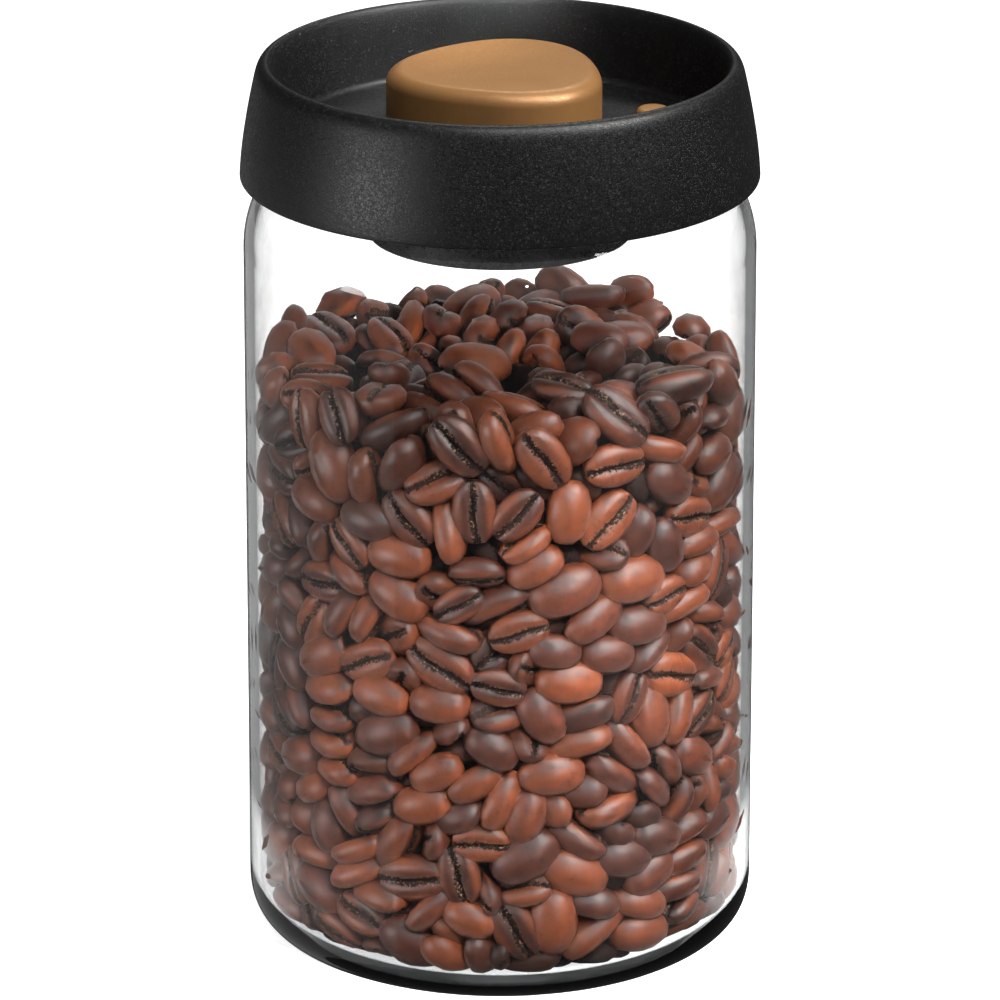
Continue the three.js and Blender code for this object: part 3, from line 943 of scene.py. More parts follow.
@dataclass(frozen=True)
class BeanHeap:
    """Settles beans in the jar until they touch the glass and each other but don't cross.

    Each bean is four balls held together; the balls push apart, the walls push them in, and the
    bean then takes the turn and place that fit its balls best. Lengths are in metres here.
    """

    jar: JarShape
    bean: BeanShape
    count: int = 2160
    rounds: int = 170
    seed: int = 7
    gap: float = 0.00045
    top: float = 0.1322
    back_drop: float = 0.0022
    side_rise: float = 0.0012
    size_spread: float = 0.10
    size_limits: Point = (0.8, 1.22)
    top_bumps: float = 0.0008
    start_size: float = 0.55
    growth: float = 0.85
    search_every: int = 4
    start_inset: float = 0.003
    top_layer: float = 0.009
    bottom_layer: float = 0.006
    face_scatter: float = 0.33
    tilt_scatter: float = 0.55
    push: float = 1.4
    sink: float = 0.00005
    lean: float = 0.00002

    # How far from the glass and the air painted shade starts on beans, and over what distance.
    shade_from_glass: Point = (0.0052, 0.0034)
    shade_from_air: Point = (0.0095, 0.006)

    def settle(self) -> tuple[np.ndarray, np.ndarray, np.ndarray, np.ndarray]:
        """Packs the beans.

        Returns:
            Each bean's place, turn and size, and a random tone for each.
        """
        rng = np.random.default_rng(self.seed)
        places = self._scatter(rng)
        turns = self._turns(rng, places)
        sizes = np.clip(rng.normal(1.0, self.size_spread, self.count), *self.size_limits)
        tones = rng.uniform(0.0, 1.0, self.count)
        bumps = rng.normal(0.0, self.top_bumps, self.count)
        ball = self.bean.height / 2 * MM
        along = self.bean.length / 2 * MM - ball
        aside = self.bean.width / 2 * MM - ball
        corners = np.array([[along, 0, 0], [-along, 0, 0], [0, aside, 0], [0, -aside, 0]])
        owner = np.repeat(np.arange(self.count), 4)
        rounds = self.rounds
        for turn in range(rounds):
            grown = min(1.0, self.start_size + self.growth * turn / rounds)
            local = corners[None] * (sizes * grown)[:, None, None]
            balls = (places[:, None] + np.einsum("nij,nkj->nki", turns, local)).reshape(-1, 3)
            radii = np.repeat(ball * sizes * grown, 4)
            if turn % self.search_every == 0:
                reach = 2 * ball * self.size_limits[1] * grown + MM
                first, second = self._near(balls, reach, owner)
            balls = balls + self._apart(balls, radii, first, second)
            balls += self._drift(balls)
            balls = self._inside(balls, radii, np.repeat(bumps, 4)).reshape(-1, 4, 3)
            places = balls.mean(1)
            fit = np.einsum("nki,nkj->nij", balls - places[:, None], local)
            # The balls lie in a plane, so the old up direction settles what they leave open.
            fit += 1e-6 * turns[:, :, 2][:, :, None] * np.array([0.0, 0.0, 1.0])
            left, _, right = np.linalg.svd(fit)
            left[:, :, 2] *= np.linalg.det(left @ right)[:, None]
            turns = left @ right
        return places, turns, sizes, tones

    def _scatter(self, rng: np.random.Generator) -> np.ndarray:
        """Drops the beans' centres at random inside the jar."""
        wall = self.jar.inner_radius * MM - self.start_inset
        low = self.jar.floor * MM + self.start_inset
        high = self.top - self.start_inset
        tries = rng.uniform([-wall, -wall, low], [wall, wall, high], (self.count * 2, 3))
        return tries[np.hypot(tries[:, 0], tries[:, 1]) < wall][: self.count]

    def _turns(self, rng: np.random.Generator, places: np.ndarray) -> np.ndarray:
        """Turns each bean's broad face to the glass, or up in the top and bottom layers."""
        angle = np.arctan2(places[:, 1], places[:, 0])
        flat = np.zeros(self.count)
        out = np.stack([np.cos(angle), np.sin(angle), flat], 1)
        side = np.stack([-np.sin(angle), np.cos(angle), flat], 1)
        up = np.tile([0.0, 0.0, 1.0], (self.count, 1))
        height = places[:, 2]
        low = self.jar.floor * MM + self.bottom_layer
        capped = ((height > self.top - self.top_layer) | (height < low))[:, None]
        flip = rng.choice([-1.0, 1.0], self.count)[:, None]
        face = np.where(capped, up, out) * flip
        face = face + rng.normal(0.0, self.face_scatter, (self.count, 3))
        length = side + up * rng.normal(0.0, self.tilt_scatter, (self.count, 1))
        length = np.where(capped, rng.normal(0.0, 1.0, (self.count, 3)), length)
        face /= np.linalg.norm(face, axis=1, keepdims=True)
        length -= (length * face).sum(1, keepdims=True) * face
        length /= np.linalg.norm(length, axis=1, keepdims=True)
        return np.stack([length, np.cross(face, length), face], 2)

    @staticmethod
    def _near(balls: np.ndarray, reach: float, owner: np.ndarray) -> tuple[np.ndarray, np.ndarray]:
        """Finds the pairs of balls that lie within reach, by sorting them into cells.

        Args:
            balls: The balls' centres.
            reach: The side of a cell, and the least distance that is searched.
            owner: The bean that each ball belongs to.

        Returns:
            The first and the second ball of each pair.
        """
        cell = np.floor(balls / reach).astype(np.int64)
        cell -= cell.min(0) - 1
        across = cell.max(0) + 2
        key = (cell[:, 0] * across[1] + cell[:, 1]) * across[2] + cell[:, 2]
        order = np.argsort(key, kind="stable")
        key = key[order]
        first, second = [], []
        steps = [(x, y, z) for x in (-1, 0, 1) for y in (-1, 0, 1) for z in (-1, 0, 1)]
        for x, y, z in steps:
            offset = (x * across[1] + y) * across[2] + z
            if offset < 0:
                continue
            low = np.searchsorted(key, key + offset, "left")
            found = np.searchsorted(key, key + offset, "right") - low
            a = np.repeat(np.arange(len(key)), found)
            b = np.arange(len(a)) + np.repeat(low - np.cumsum(found) + found, found)
            keep = (a < b) if offset == 0 else np.ones(len(a), bool)
            first.append(order[a[keep]])
            second.append(order[b[keep]])
        a, b = np.concatenate(first), np.concatenate(second)
        keep = owner[a] != owner[b]
        return a[keep], b[keep]

    def _apart(
        self, balls: np.ndarray, radii: np.ndarray, first: np.ndarray, second: np.ndarray
    ) -> np.ndarray:
        """Gives the moves that push crossing balls apart."""
        gap = balls[first] - balls[second]
        length = np.linalg.norm(gap, axis=1)
        crossing = radii[first] + radii[second] - length
        hit = crossing > 0
        a, b = first[hit], second[hit]
        push = gap[hit] / np.maximum(length[hit], TINY)[:, None] * (crossing[hit] * 0.5)[:, None]
        size = len(balls)
        moves = [np.bincount(a, way, size) - np.bincount(b, way, size) for way in push.T]
        touching = np.bincount(a, minlength=size) + np.bincount(b, minlength=size)
        return np.stack(moves, 1) * (self.push / np.maximum(touching, 1))[:, None]

    def _drift(self, balls: np.ndarray) -> np.ndarray:
        """Gives the small moves that let the beans sink and lean on the glass."""
        radius = np.maximum(np.hypot(balls[:, 0], balls[:, 1]), 1e-6)
        out = balls[:, :2] / radius[:, None] * self.lean
        return np.column_stack([out, np.full(len(balls), -self.sink)])

    def crown(self, places: np.ndarray) -> np.ndarray:
        """Gives the height of the heap's top over each place."""
        wall = self.jar.inner_radius * MM
        behind = np.clip(places[:, 1] / wall, 0.0, 1.0)
        return self.top - self.back_drop * behind + self.side_rise * (places[:, 0] / wall) ** 2

    def painted_shades(self, places: np.ndarray) -> np.ndarray:
        """Gives the painted shade of each place in the heap, from 0 at the glass and the air to 1.
        """
        to_glass = self.jar.inner_radius * MM - np.hypot(places[:, 0], places[:, 1])
        to_air = self.crown(places) - places[:, 2]
        limits = ((to_glass, self.shade_from_glass), (to_air, self.shade_from_air))
        shares = [(distance - start) / over for distance, (start, over) in limits]
        return np.clip(np.minimum(*shares), 0.0, 1.0)

    def _inside(self, balls: np.ndarray, radii: np.ndarray, bumps: np.ndarray) -> np.ndarray:
        """Keeps the balls inside the jar's wall, heel and floor and under the heap's top."""
        wall = self.jar.inner_radius * MM - self.gap
        floor = self.jar.floor * MM + self.gap
        heel_radius = (self.jar.foot_outer - 1) * MM
        heel_height = (self.jar.heel_height - self.jar.wall) * MM
        radius = np.hypot(balls[:, 0], balls[:, 1])
        height = np.maximum(balls[:, 2], floor + radii)
        kept = np.minimum(radius, wall - radii)
        out = (kept - heel_radius) / (wall - heel_radius - radii)
        down = (floor + heel_height - height) / (heel_height - radii)
        power = self.jar.heel_power
        corner = (out > 0) & (down > 0)
        reach = np.where(corner, np.abs(out) ** power + np.abs(down) ** power, 0.0) ** (1 / power)
        pull = np.where(reach > 1, 1 / np.maximum(reach, TINY), 1.0)
        kept = np.where(reach > 1, heel_radius + (kept - heel_radius) * pull, kept)
        corner_top = floor + heel_height
        height = np.where(reach > 1, corner_top - (corner_top - height) * pull, height)
        height = np.minimum(height, self.crown(balls) + bumps - radii)
        scale = kept / np.maximum(radius, TINY)
        return np.stack([balls[:, 0] * scale, balls[:, 1] * scale, height], 1)


@dataclass
class Jar:
    """The glass jar and the beans in it."""

    finishes: Finishes
    shape: JarShape = field(default_factory=JarShape)
    bean: BeanShape = field(default_factory=BeanShape)
    layers: int = 4

    def build(self) -> None:
        """Makes the glass and fills it."""
        glass = self.shape.glass().spun(LARGE_ROUND)
        stand_for("glass_jar", glass, Body.JAR, Slot.GLASS, self.finishes)
        self._fill()

    def _fill(self) -> None:
        """Makes the beans in a few level layers, each one piece."""
        heap = BeanHeap(self.shape, self.bean)
        places, turns, sizes, tones = heap.settle()
        order = np.argsort(places[:, 2], kind="stable")
        # Painted shade for each bean, darker the deeper it lies in the heap.
        painted_shades = heap.painted_shades(places)
        base = self.bean.mesh()
        local = np.zeros(len(base.vertices) * 3)
        base.vertices.foreach_get("co", local)
        for number, members in enumerate(np.array_split(order, self.layers), start=1):
            piece = self._layer(number, base, members, places, turns, sizes)
            count = len(members)
            marks = piece.data.attributes.new("bean_place", "FLOAT_VECTOR", "POINT")
            marks.data.foreach_set("vector", np.tile(local / MM, count).astype(np.float32))
            for name, values in (("bean_tone", tones), ("bean_painted_shade", painted_shades)):
                mark = piece.data.attributes.new(name, "FLOAT", "POINT")
                each = np.repeat(values[members], len(base.vertices)).astype(np.float32)
                mark.data.foreach_set("value", each)
            ride_on(piece, Body.JAR, Slot.BEANS, self.finishes)
            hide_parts("coffee_bean_fill")
            LOG.info("%s: %d beans", piece.name, count)
        bpy.data.meshes.remove(base)

    @staticmethod
    def _layer(
        number: int,
        base: bpy.types.Mesh,
        members: np.ndarray,
        places: np.ndarray,
        turns: np.ndarray,
        sizes: np.ndarray,
    ) -> bpy.types.Object:
        """Copies the bean into one layer's places.

        Args:
            number: The layer's number from the bottom.
            base: The bean's mesh.
            members: The beans of this layer.
            places: Every bean's place.
            turns: Every bean's turn.
            sizes: Every bean's size.

        Returns:
            The layer's object.
        """
        bm = bmesh.new()
        for i in members:
            copy = base.copy()
            spot = Matrix(turns[i].tolist()).to_4x4() @ Matrix.Scale(float(sizes[i]), 4)
            spot.translation = Vector(places[i].tolist())
            copy.transform(spot)
            bm.from_mesh(copy)
            bpy.data.meshes.remove(copy)
        return loose_object(f"coffee_beans_{number}", bm)


# ---- Lid -----------------------------------------------------------------------------


@dataclass(frozen=True)
class Lobes:
    """The three soft lobes of the push button and of the opening that it stands in."""

    swell: float = 1.5
    azimuth: float = 70.0
    radius: float = 21.8

    def press(self, bm: Solid, fade: Callable[[float], float] = lambda _: 1.0) -> Solid:
        """Swells a round mesh into lobes.

        Args:
            bm: The mesh.
            fade: How much of the swell a point at that radius in millimetres takes.

        Returns:
            The same mesh.
        """
        for vert in bm.verts:
            radius = math.hypot(vert.co.x, vert.co.y) / MM
            if radius < 1e-3:
                continue
            angle = math.atan2(vert.co.y, vert.co.x) - math.radians(self.azimuth)
            grown = self.swell * math.cos(3 * angle) * min(radius / self.radius, 1.02) ** 2
            scale = 1 + grown * fade(radius) / radius
            vert.co.x *= scale
            vert.co.y *= scale
        return bm


@dataclass
class Lid:
    """The dished shell, and the liner, gasket and screws under it."""

    finishes: Finishes
    lobes: Lobes = field(default_factory=Lobes)
    skirt_bottom: float = 164.4
    skirt_radius: float = 53.13
    flare: float = 0.0328
    flare_power: float = 1.5
    skirt_wall: float = 1.9
    skirt_shoulder: float = 185.6
    crest_radius: float = 47.5
    height: float = 188.6
    cavity_top: float = 180.4
    dish_top_radius: float = 46.6
    dish_radius: float = 44.7
    dish_floor: float = 172.4
    dish_wall: float = 2.0
    dish_fillet: float = 1.6
    boss_circle: float = 36.0
    boss_azimuths: tuple[float, ...] = (64.0, 154.0, 244.0, 334.0)
    screw_seat: float = 161.7

    def build(self) -> None:
        """Makes the lid's pieces."""
        for node, bm, slot in (
            ("lid_outer_shell", self._shell(), Slot.LID),
            ("lid_inner_liner", self._liner(), Slot.LINER),
            ("neck_gasket", self._gasket(), Slot.SILICONE),
        ):
            stand_for(node, bm, Body.LID, slot, self.finishes)
        for number, (x, y) in enumerate(self._screw_places(), start=1):
            screw = pan_screw(head=2.6, head_height=1.5, thread=1.25, length=7.6)
            shift(screw, x, y, self.screw_seat)
            stand_for(f"liner_screw_{number}", screw, Body.LID, Slot.SCREW, self.finishes)

    def _screw_places(self) -> list[Point]:
        """Gives the centres of the four screws."""
        angles = [math.radians(azimuth) for azimuth in self.boss_azimuths]
        return [(self.boss_circle * math.cos(a), self.boss_circle * math.sin(a)) for a in angles]

    def _skirt(self, start: float, end: float, inset: float, steps: int = 18) -> list[Point]:
        """Gives points up the skirt's flare on the face that is inset."""
        heights = [start + (end - start) * i / steps for i in range(steps + 1)]
        drawn_in = [self.flare * (z - self.skirt_bottom) ** self.flare_power for z in heights]
        return [(self.skirt_radius - inward - inset, z) for inward, z in zip(drawn_in, heights)]

    def _shell(self) -> Solid:
        """Makes the shell, with its lobed opening and the hole for the release button."""
        underside = self.dish_floor - self.dish_wall
        slope = (self.dish_top_radius - self.dish_radius) / (self.skirt_shoulder - self.dish_floor)
        opening = self.lobes.radius + 0.35
        outer = self._skirt(self.skirt_bottom, self.skirt_shoulder, 0.0)
        inner = self._skirt(self.cavity_top, self.skirt_bottom, self.skirt_wall)
        shoulder = outer[-1]
        crest = (self.crest_radius, self.height)
        cavity = self.dish_radius + slope * (self.cavity_top - self.dish_floor) + self.dish_wall
        outline = (
            Outline()
            .to(opening, underside, 0.25)
            .to(24.0, underside)
            .to(28.0, underside)
            .to(self.dish_radius + self.dish_wall, underside)
            .to(cavity, self.cavity_top, 1.0)
            .along(inner[:-1])
            .to(*inner[-1], 0.35)
            .to(*outer[0], 0.45)
            .along(outer[1:-1])
            .along(bend(shoulder, (shoulder[0] - 0.7, self.height), crest))
            .along(bend(crest, (46.1, 188.4), (45.3, 180.5), 14)[1:])
            .to(self.dish_radius, self.dish_floor, self.dish_fillet)
            .to(28.0, self.dish_floor)
            .to(24.0, self.dish_floor)
            .to(opening, self.dish_floor, 0.3)
        )
        shell = outline.spun(LARGE_ROUND)
        self.lobes.press(shell, lambda radius: min(max((30.0 - radius) / 8.0, 0.0), 1.0))
        x, y = RELEASE_PLACE
        places = self._screw_places()
        bosses = [post(a, b, 3.0, 165.7, underside + 1) for a, b in places]
        holes = [post(a, b, 1.55, 160.0, underside + 1) for a, b in places]
        shell = combine(shell, bosses, "UNION")
        return combine(shell, [post(x, y, 3.9, 165.0, 190.0, RELEASE_ROUND), *holes], "DIFFERENCE")

    def _liner(self) -> Solid:
        """Makes the plug that fills the jar's mouth, with the gasket's groove and the pockets."""
        outline = profile(
            (27.3, 163.5, 0.3), (44.2, 163.5, 0.6), (44.2, 165.3, 0.2), (42.0, 165.3),
            (42.0, 169.3), (44.2, 169.3, 0.2), (44.2, 170.1, 0.2), (29.2, 170.1),
            (29.2, 167.4), (27.3, 167.4),
        )
        x, y = RELEASE_PLACE
        cuts = [post(a, b, 3.3, 165.4, 172.0) for a, b in self._screw_places()]
        cuts.append(post(x, y, 2.9, 165.3, 172.0))
        bm = combine(outline.spun(LARGE_ROUND), cuts, "DIFFERENCE")
        holes = [post(a, b, 1.55, 160.0, 168.0) for a, b in self._screw_places()]
        return combine(bm, [*holes, post(x, y, 1.5, 160.0, 168.0)], "DIFFERENCE")

    def _gasket(self) -> Solid:
        """Makes the ring with two lips that bear on the inside of the neck."""
        lip, web = 44.82, 43.72
        outline = profile(
            (42.3, 165.6, 0.2), (web, 165.6, 0.2), (lip, 166.15, 0.3), (web, 167.3, 0.4),
            (lip, 168.45, 0.3), (web, 169.0, 0.2), (42.3, 169.0, 0.2),
        )
        return outline.spun(LARGE_ROUND)


def pan_screw(head: float, head_height: float, thread: float, length: float) -> Solid:
    """Makes a pan-head screw that points up, with a hexagon socket and a threaded shank.

    Args:
        head: The head's radius.
        head_height: The head's height.
        thread: The shank's radius.
        length: The shank's length.

    Returns:
        The screw's mesh, its head's underside at height 0.
    """
    outline = profile(
        (0.0, 0.0), (head, 0.0, 0.5), (head, head_height, 0.15), (thread, head_height),
    )
    height = head_height + 0.8
    while height < head_height + length - 1.0:
        outline.to(thread - 0.2, height).to(thread, height + 0.2)
        height += 0.45
    outline.to(thread - 0.5, head_height + length, 0.2).to(0.0, head_height + length)
    return combine(outline.spun(SMALL_ROUND, 3), [post(0.0, 0.0, 0.9, -1.0, 0.8, 6)], "DIFFERENCE")


# ---- Pump ----------------------------------------------------------------------------


@dataclass
class Pump:
    """The housing under the lid, its valve, filter and spring, and the button with its piston."""

    finishes: Finishes
    lobes: Lobes = field(default_factory=Lobes)

    def build(self) -> None:
        """Makes the pump's pieces."""
        seal_ring = plain_ring(27.3, 28.9, 167.7, 168.1, 0.1).spun(PUMP_ROUND)
        exhaust_flap = plain_ring(11.0, 15.6, 170.3, 171.0, 0.15).spun(PUMP_ROUND)
        lid = (
            ("pump_cylinder", self._cylinder(), Slot.LINER),
            ("cylinder_seal_ring", seal_ring, Slot.SILICONE),
            ("check_valve", self._check_valve(), Slot.SILICONE),
            ("intake_filter", plain_ring(0.0, 22.0, 153.5, 154.4, 0.2).spun(PUMP_ROUND), Slot.FELT),
            ("filter_cover", self._filter_cover(), Slot.LINER),
        )
        button = (
            ("pump_button_cap", self._button_cap(), Slot.GOLD),
            ("piston", self._piston(), Slot.PISTON),
            ("piston_cup_seal", self._cup_seal(), Slot.SILICONE),
            ("exhaust_flap", exhaust_flap, Slot.SILICONE),
            ("piston_screw", self._piston_screw(), Slot.SCREW),
        )
        for body, pieces in ((Body.LID, lid), (Body.PUMP_BUTTON, button)):
            for node, bm, slot in pieces:
                stand_for(node, bm, body, slot, self.finishes)
        spring = coil(radius=6.9, wire=0.5, bottom=157.9, top=180.0, turns=7)
        piece = stand_for("return_spring", spring, Body.LID, Slot.SPRING, self.finishes)
        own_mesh(piece)

    def _cylinder(self) -> Solid:
        """Makes the housing, with its flange, its floor plate and the intake vents."""
        outline = profile(
            (0.0, 155.8), (22.3, 155.8), (22.3, 152.0, 0.3), (27.0, 152.0, 0.8), (27.0, 168.4),
            (28.9, 168.4, 0.2), (28.9, 170.1, 0.2), (25.2, 170.1, 0.3), (25.2, 157.6),
            (0.0, 157.6),
        )
        away = 3.2
        spots = ((away, 0.0), (0.0, away), (-away, 0.0), (0.0, -away))
        vents = [post(x, y, 0.9, 150.0, 160.0) for x, y in spots]
        vents.append(post(0.0, 0.0, 1.0, 150.0, 160.0))
        return combine(outline.spun(PUMP_ROUND), vents, "DIFFERENCE")

    @staticmethod
    def _check_valve() -> Solid:
        """Makes the umbrella over the vents, held by the barb on its stem."""
        outline = profile(
            (0.0, 154.6), (0.8, 154.6, 0.2), (1.4, 155.5, 0.1), (0.7, 155.5), (0.7, 157.9),
            (5.5, 157.9, 0.1), (5.1, 158.5, 0.2), (0.0, 159.1),
        )
        return outline.spun(SMALL_ROUND)

    @staticmethod
    def _filter_cover() -> Solid:
        """Makes the slotted disc that holds the filter."""
        slots = []
        count = 8
        for turn in range(count):
            bm = bmesh.new()
            bmesh.ops.create_cube(bm, size=MM)
            bmesh.ops.scale(bm, vec=(10.0, 1.6, 4.0), verts=bm.verts)
            shift(bm, 12.0, 0.0, 152.0)
            turned = Matrix.Rotation(math.tau * turn / count, 3, "Z")
            bmesh.ops.rotate(bm, cent=(0.0, 0.0, 0.0), matrix=turned, verts=bm.verts)
            slots.append(bm)
        disc = plain_ring(0.0, 22.0, 152.0, 153.2, 0.25).spun(PUMP_ROUND)
        return combine(disc, slots, "DIFFERENCE")

    def _button_cap(self) -> Solid:
        """Makes the three-lobed cap."""
        outline = profile(
            (0.0, 185.1), (1.4, 185.1), (1.4, 182.3), (3.5, 182.3, 0.3), (3.5, 185.5, 0.3),
            (20.0, 185.5, 1.5), (20.0, 170.3, 0.3), (21.8, 170.3, 0.3), (21.8, 187.3, 3.0),
            (12.0, 187.3), (6.0, 187.3), (0.0, 187.3),
        )
        return self.lobes.press(outline.spun(BUTTON_ROUND, 10))

    @staticmethod
    def _piston() -> Solid:
        """Makes the grooved disc and the hollow tube that carries the button."""
        outline = profile(
            (8.8, 166.4, 0.2), (10.5, 166.4, 0.2), (10.5, 168.4), (20.5, 168.4),
            (20.5, 166.4, 0.2), (23.4, 166.4, 0.2), (23.4, 167.0, 0.2), (22.0, 167.0),
            (22.0, 169.2), (24.4, 169.2, 0.2), (24.4, 170.0, 0.2), (10.5, 170.0),
            (10.5, 182.0, 0.4), (1.4, 182.0), (1.4, 180.3), (8.8, 180.3),
        )
        angles = [math.tau * i / 6 for i in range(6)]
        holes = [post(13.2 * math.cos(a), 13.2 * math.sin(a), 1.0, 166.0, 172.0) for a in angles]
        return combine(outline.spun(PUMP_ROUND), holes, "DIFFERENCE")

    @staticmethod
    def _cup_seal() -> Solid:
        """Makes the soft ring in the piston's groove, which flares down to the bore."""
        outline = profile(
            (22.3, 167.3, 0.1), (24.1, 167.8, 0.15), (24.9, 167.3, 0.1), (24.9, 167.8, 0.1),
            (24.0, 168.9, 0.15), (22.3, 168.9, 0.1),
        )
        return outline.spun(PUMP_ROUND)

    @staticmethod
    def _piston_screw() -> Solid:
        """Makes the screw that joins the button to the piston."""
        screw = pan_screw(head=2.8, head_height=1.7, thread=1.1, length=4.8)
        shift(screw, 0.0, 0.0, 178.3)
        return screw


def coil(radius: float, wire: float, bottom: float, top: float, turns: int) -> Solid:
    """Winds a compression spring with round wire about the Z axis.

    Args:
        radius: The spring's mean radius.
        wire: The wire's radius.
        bottom: The height of its lowest point.
        top: The height of its highest point.
        turns: The number of turns.

    Returns:
        The spring's mesh.
    """
    bm = bmesh.new()
    bmesh.ops.create_circle(bm, cap_ends=True, segments=WIRE_ROUND, radius=wire * MM)
    upright = Matrix.Rotation(math.pi / 2, 3, "X")
    bmesh.ops.rotate(bm, cent=(0.0, 0.0, 0.0), matrix=upright, verts=bm.verts)
    shift(bm, radius, 0.0, bottom + wire)
    steps = turns * COIL_ROUND
    climb = (top - bottom - 2 * wire) * MM / steps
    spin(bm, bm.faces[:], math.tau * turns, steps, dvec=(0.0, 0.0, climb))
    bmesh.ops.recalc_face_normals(bm, faces=bm.faces)
    return bm


# ---- Vacuum release ------------------------------------------------------------------


@dataclass
class Release:
    """The small button that lets air back in, with its stem, seal and spring."""

    finishes: Finishes

    def build(self) -> None:
        """Makes the release's pieces."""
        cap = profile(
            (0.0, 173.9), (1.5, 173.9), (1.5, 172.2), (3.6, 172.2, 0.2), (3.6, 175.25, 1.1),
            (2.0, 175.35), (0.0, 175.4),
        )
        stem = profile(
            (0.0, 160.2), (2.4, 160.2, 0.25), (2.4, 161.2, 0.25), (1.2, 161.2),
            (1.2, 173.6, 0.15), (0.0, 173.6),
        )
        seal = profile(
            (1.5, 161.5, 0.1), (3.2, 161.5, 0.15), (2.8, 163.2, 0.15), (1.5, 163.2, 0.1)
        )
        for node, bm, slot in (
            ("release_button_cap", cap.spun(RELEASE_ROUND, 8), Slot.GOLD),
            ("release_stem", stem.spun(SMALL_ROUND), Slot.SCREW),
            ("release_valve_seal", seal.spun(SMALL_ROUND), Slot.SILICONE),
        ):
            shift(bm, *RELEASE_PLACE, 0.0)
            stand_for(node, bm, Body.RELEASE_BUTTON, slot, self.finishes)
        spring = coil(radius=2.05, wire=0.25, bottom=165.6, top=171.9, turns=5)
        shift(spring, *RELEASE_PLACE, 0.0)
        piece = stand_for("release_spring", spring, Body.LID, Slot.SPRING, self.finishes)
        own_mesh(piece)


# ---- Studio --------------------------------------------------------------------------


@dataclass(frozen=True)
class SoftBox:
    """A lamp panel that faces the canister from an azimuth and an elevation, in degrees.

    Azimuth 0 is in front of the canister and 90 is to its right. Distances are in metres. A narrow
    spread, in degrees, keeps the lamp's light on the place that it aims at.
    """

    name: str
    azimuth: float
    elevation: float
    distance: float
    width: float
    height: float
    watts: float
    colour: Colour = (1.0, 1.0, 1.0)
    spread: float = 180.0

    def place(self, aim: Vector) -> Matrix:
        """Returns the panel's placing."""
        a, e = math.radians(self.azimuth), math.radians(self.elevation)
        way = Vector((math.sin(a) * math.cos(e), -math.cos(a) * math.cos(e), math.sin(e)))
        turned = way.to_track_quat("Z", "Y").to_matrix().to_4x4()
        turned.translation = aim + way * self.distance
        return turned

    def hang(self, aim: Vector) -> None:
        """Hangs the lamp."""
        data = bpy.data.lights.new(self.name, "AREA")
        data.shape, data.size, data.size_y = "RECTANGLE", self.width, self.height
        data.energy, data.color = self.watts, self.colour
        data.spread = math.radians(self.spread)
        lamp = bpy.data.objects.new(self.name, data)
        lamp.matrix_world = self.place(aim)
        lamp.visible_camera = False
        lamp.visible_transmission = False
        bpy.context.scene.collection.objects.link(lamp)


@dataclass(frozen=True)
class Card:
    """A curved pale card that only shows as a reflection, from one azimuth to another."""

    name: str
    start: float
    end: float
    radius: float
    bottom: float
    top: float
    glow: float
    steps: int = 24

    def stand(self) -> None:
        """Stands the card."""
        bm = bmesh.new()
        foot = math.radians(self.start)
        x, y = self.radius * math.sin(foot), -self.radius * math.cos(foot)
        ends = [bm.verts.new((x, y, z)) for z in (self.bottom, self.top)]
        edge = bm.edges.new(ends)
        spin(bm, [*ends, edge], math.radians(self.end - self.start), self.steps)
        card = loose_object(self.name, bm)
        recipe = Recipe(self.name)
        glow = recipe.node("ShaderNodeEmission", inputs={"Strength": self.glow})
        card.data.materials.append(recipe.finish(glow.outputs[0]))
        for kind in ("camera", "diffuse", "transmission", "volume_scatter", "shadow"):
            setattr(card, f"visible_{kind}", False)


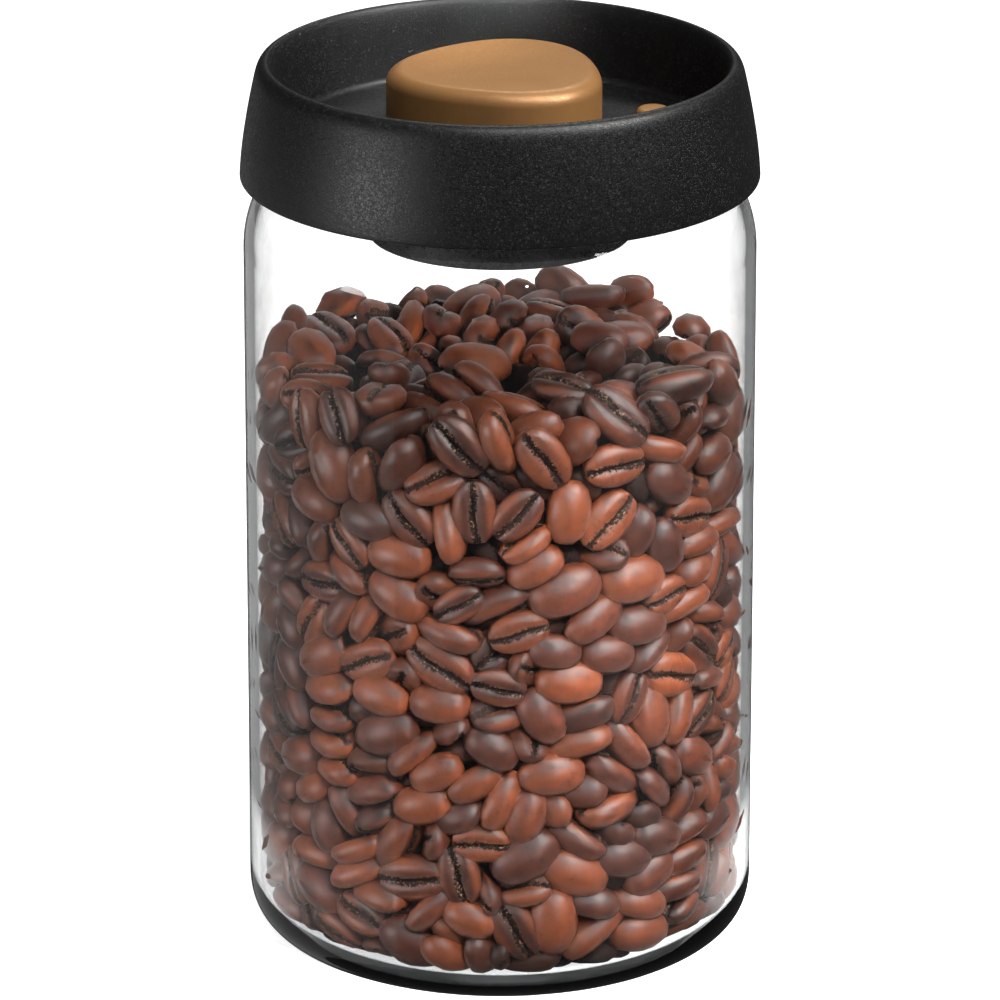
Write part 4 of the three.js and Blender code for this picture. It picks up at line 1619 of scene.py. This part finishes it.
@dataclass
class Studio:
    """The pale floor, the lamps, the reflector cards, the sky and the camera."""

    aim: Vector = field(default_factory=lambda: Vector((0.0, 0.0, 0.0939)))
    distance: float = 1.6
    elevation: float = 19.17
    lens: float = 278.3
    sky_light: float = 0.06
    floor_glow: float = 0.80
    floor_bounce: Colour = (0.03, 0.03, 0.03)

    # The floor that the base's mirrored light may see: by the square of its distance from the
    # axis, and from just in front of the axis backwards.
    base_reach: Point = (0.012, 0.008)
    base_front: Point = (-0.03, 0.0)

    def build(self) -> None:
        """Sets the studio up."""
        self._camera()
        self._sky()
        self._floor()
        lid = Vector((0.0, 0.0, 0.172))
        beans = Vector((0.012, -0.045, 0.066))
        heap = Vector((0.0, 0.01, 0.126))
        dish_wall = Vector((-0.026, 0.040, 0.182))
        brim = Vector((0.0, -0.05, 0.145))
        plug = Vector((-0.020, -0.015, 0.155))
        for lamp, aim in (
            (SoftBox("overhead lamp", 30.0, 62.0, 1.1, 0.8, 0.6, 10.4), self.aim),
            (SoftBox("bean lamp", 18.0, 42.0, 0.9, 0.26, 0.07, 0.25, spread=4.0), beans),
            (SoftBox("heap lamp", 172.0, 24.0, 0.9, 0.24, 0.03, 0.20, spread=3.0), heap),
            (SoftBox("dish lamp", -18.0, 40.0, 0.9, 0.06, 0.02, 0.018, spread=3.0), dish_wall),
            (SoftBox("brim lamp", 12.0, 16.0, 0.9, 0.20, 0.012, 0.034, spread=1.4), brim),
            (SoftBox("plug lamp", -70.0, -9.0, 0.9, 0.03, 0.01, 0.004, spread=1.0), plug),
            (SoftBox("right lamp", 74.0, 48.0, 0.9, 0.30, 0.30, 5.5, (1.0, 0.97, 0.93)), lid),
            (SoftBox("left lamp", -58.0, -3.0, 0.9, 0.45, 0.18, 2.9), lid),
            (SoftBox("front lamp", 62.0, 38.0, 1.2, 0.45, 0.30, 6.2), lid),
            (SoftBox("back lamp", 172.0, 46.0, 1.2, 0.50, 0.25, 2.6), lid),
        ):
            lamp.hang(aim)
        Card("left card", -158.0, -46.0, 0.55, -0.6, 0.10, 0.30).stand()
        Card("right card", 42.0, 80.0, 0.55, -0.6, 0.02, 0.22).stand()
        bpy.context.scene.view_settings.view_transform = "Standard"
        bpy.context.scene.view_settings.look = "None"

    def _camera(self) -> None:
        """Places the camera in front of the canister, looking slightly down."""
        data = bpy.data.cameras.new("camera")
        data.lens, data.sensor_width = self.lens, 36.0
        data.clip_start, data.clip_end = 0.05, 30.0
        camera = bpy.data.objects.new("camera", data)
        tilt = math.radians(self.elevation)
        back = Vector((0.0, -math.cos(tilt), math.sin(tilt)))
        camera.location = self.aim + back * self.distance
        camera.rotation_mode = "QUATERNION"
        camera.rotation_quaternion = back.to_track_quat("Z", "Y")
        bpy.context.scene.collection.objects.link(camera)
        bpy.context.scene.camera = camera

    def _sky(self) -> None:
        """Makes the sky white behind the canister, soft as light and dark as a reflection."""
        world = bpy.data.worlds.new("studio")
        world.use_nodes = True
        recipe = Recipe("sky light", world.node_tree, "ShaderNodeOutputWorld")
        strength = self.sky_light + direct_view(recipe) * (1.0 - self.sky_light)
        sky = recipe.node("ShaderNodeBackground", inputs={"Strength": strength})
        recipe.tree.links.new(sky.outputs[0], recipe.output.inputs["Surface"])
        bpy.context.scene.world = world

    def _floor(self) -> None:
        """Lays the pale floor, which glows to the eye but bounces little light."""
        bm = bmesh.new()
        bmesh.ops.create_circle(bm, cap_ends=True, segments=64, radius=6.0)
        bmesh.ops.translate(bm, vec=(0.0, 0.0, -0.0002), verts=bm.verts)
        floor = loose_object("pale_floor", bm)
        recipe = Recipe("pale floor")
        speckle = recipe.noise(60.0, 2.0)
        seen = recipe.principled(
            Base_Color=recipe.blend(speckle, (0.90, 0.90, 0.90), (0.93, 0.93, 0.93)),
            Roughness=0.9,
            Emission_Color=(1.0, 1.0, 1.0),
            Emission_Strength=self.floor_glow,
        )
        x, y, _ = recipe.split(recipe.place())
        near_base = (x * x + y * y).step(*self.base_reach) * y.step(*self.base_front)
        bounced = recipe.node("ShaderNodeBsdfDiffuse", inputs={"Color": self.floor_bounce})
        shaders = {0: direct_view(recipe, near_base), 1: bounced.outputs[0], 2: seen}
        mixed = recipe.node("ShaderNodeMixShader", inputs=shaders)
        floor.data.materials.append(recipe.finish(mixed.outputs[0]))
        floor.visible_glossy = False


def direct_view(recipe: Recipe, near_base: Signal | float = 1.0) -> Signal:
    """Tells what is seen straight or through glass from reflections and bounced light.

    Args:
        recipe: The material or sky that asks.
        near_base: 1 where light that is mirrored once inside the jar's base may see the recipe.

    Returns:
        1 for a straight view, and 0 for a reflection or bounced light.
    """
    path = recipe.node("ShaderNodeLightPath").outputs
    crossed = Signal(recipe, path["Transmission Depth"])
    mirrored = Signal(recipe, path["Glossy Depth"])
    once = crossed.step(2.6, 2.4) * near_base
    within_glass = crossed.least(1.0) * mirrored.step(1.2, 1.8).most(once)
    shine = mirrored.least(1.0) * (1.0 - within_glass * 0.8)
    return (1.0 - Signal(recipe, path["Diffuse Depth"]) - shine).most(0.0)


def main() -> None:
    """Builds the canister round the frame and sets up the studio."""
    logging.basicConfig(level=logging.INFO, format="%(name)s: %(message)s")
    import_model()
    finishes = Finishes()
    Jar(finishes).build()
    Lid(finishes).build()
    Pump(finishes).build()
    Release(finishes).build()
    Studio().build()


if __name__ == "__main__":
    main()
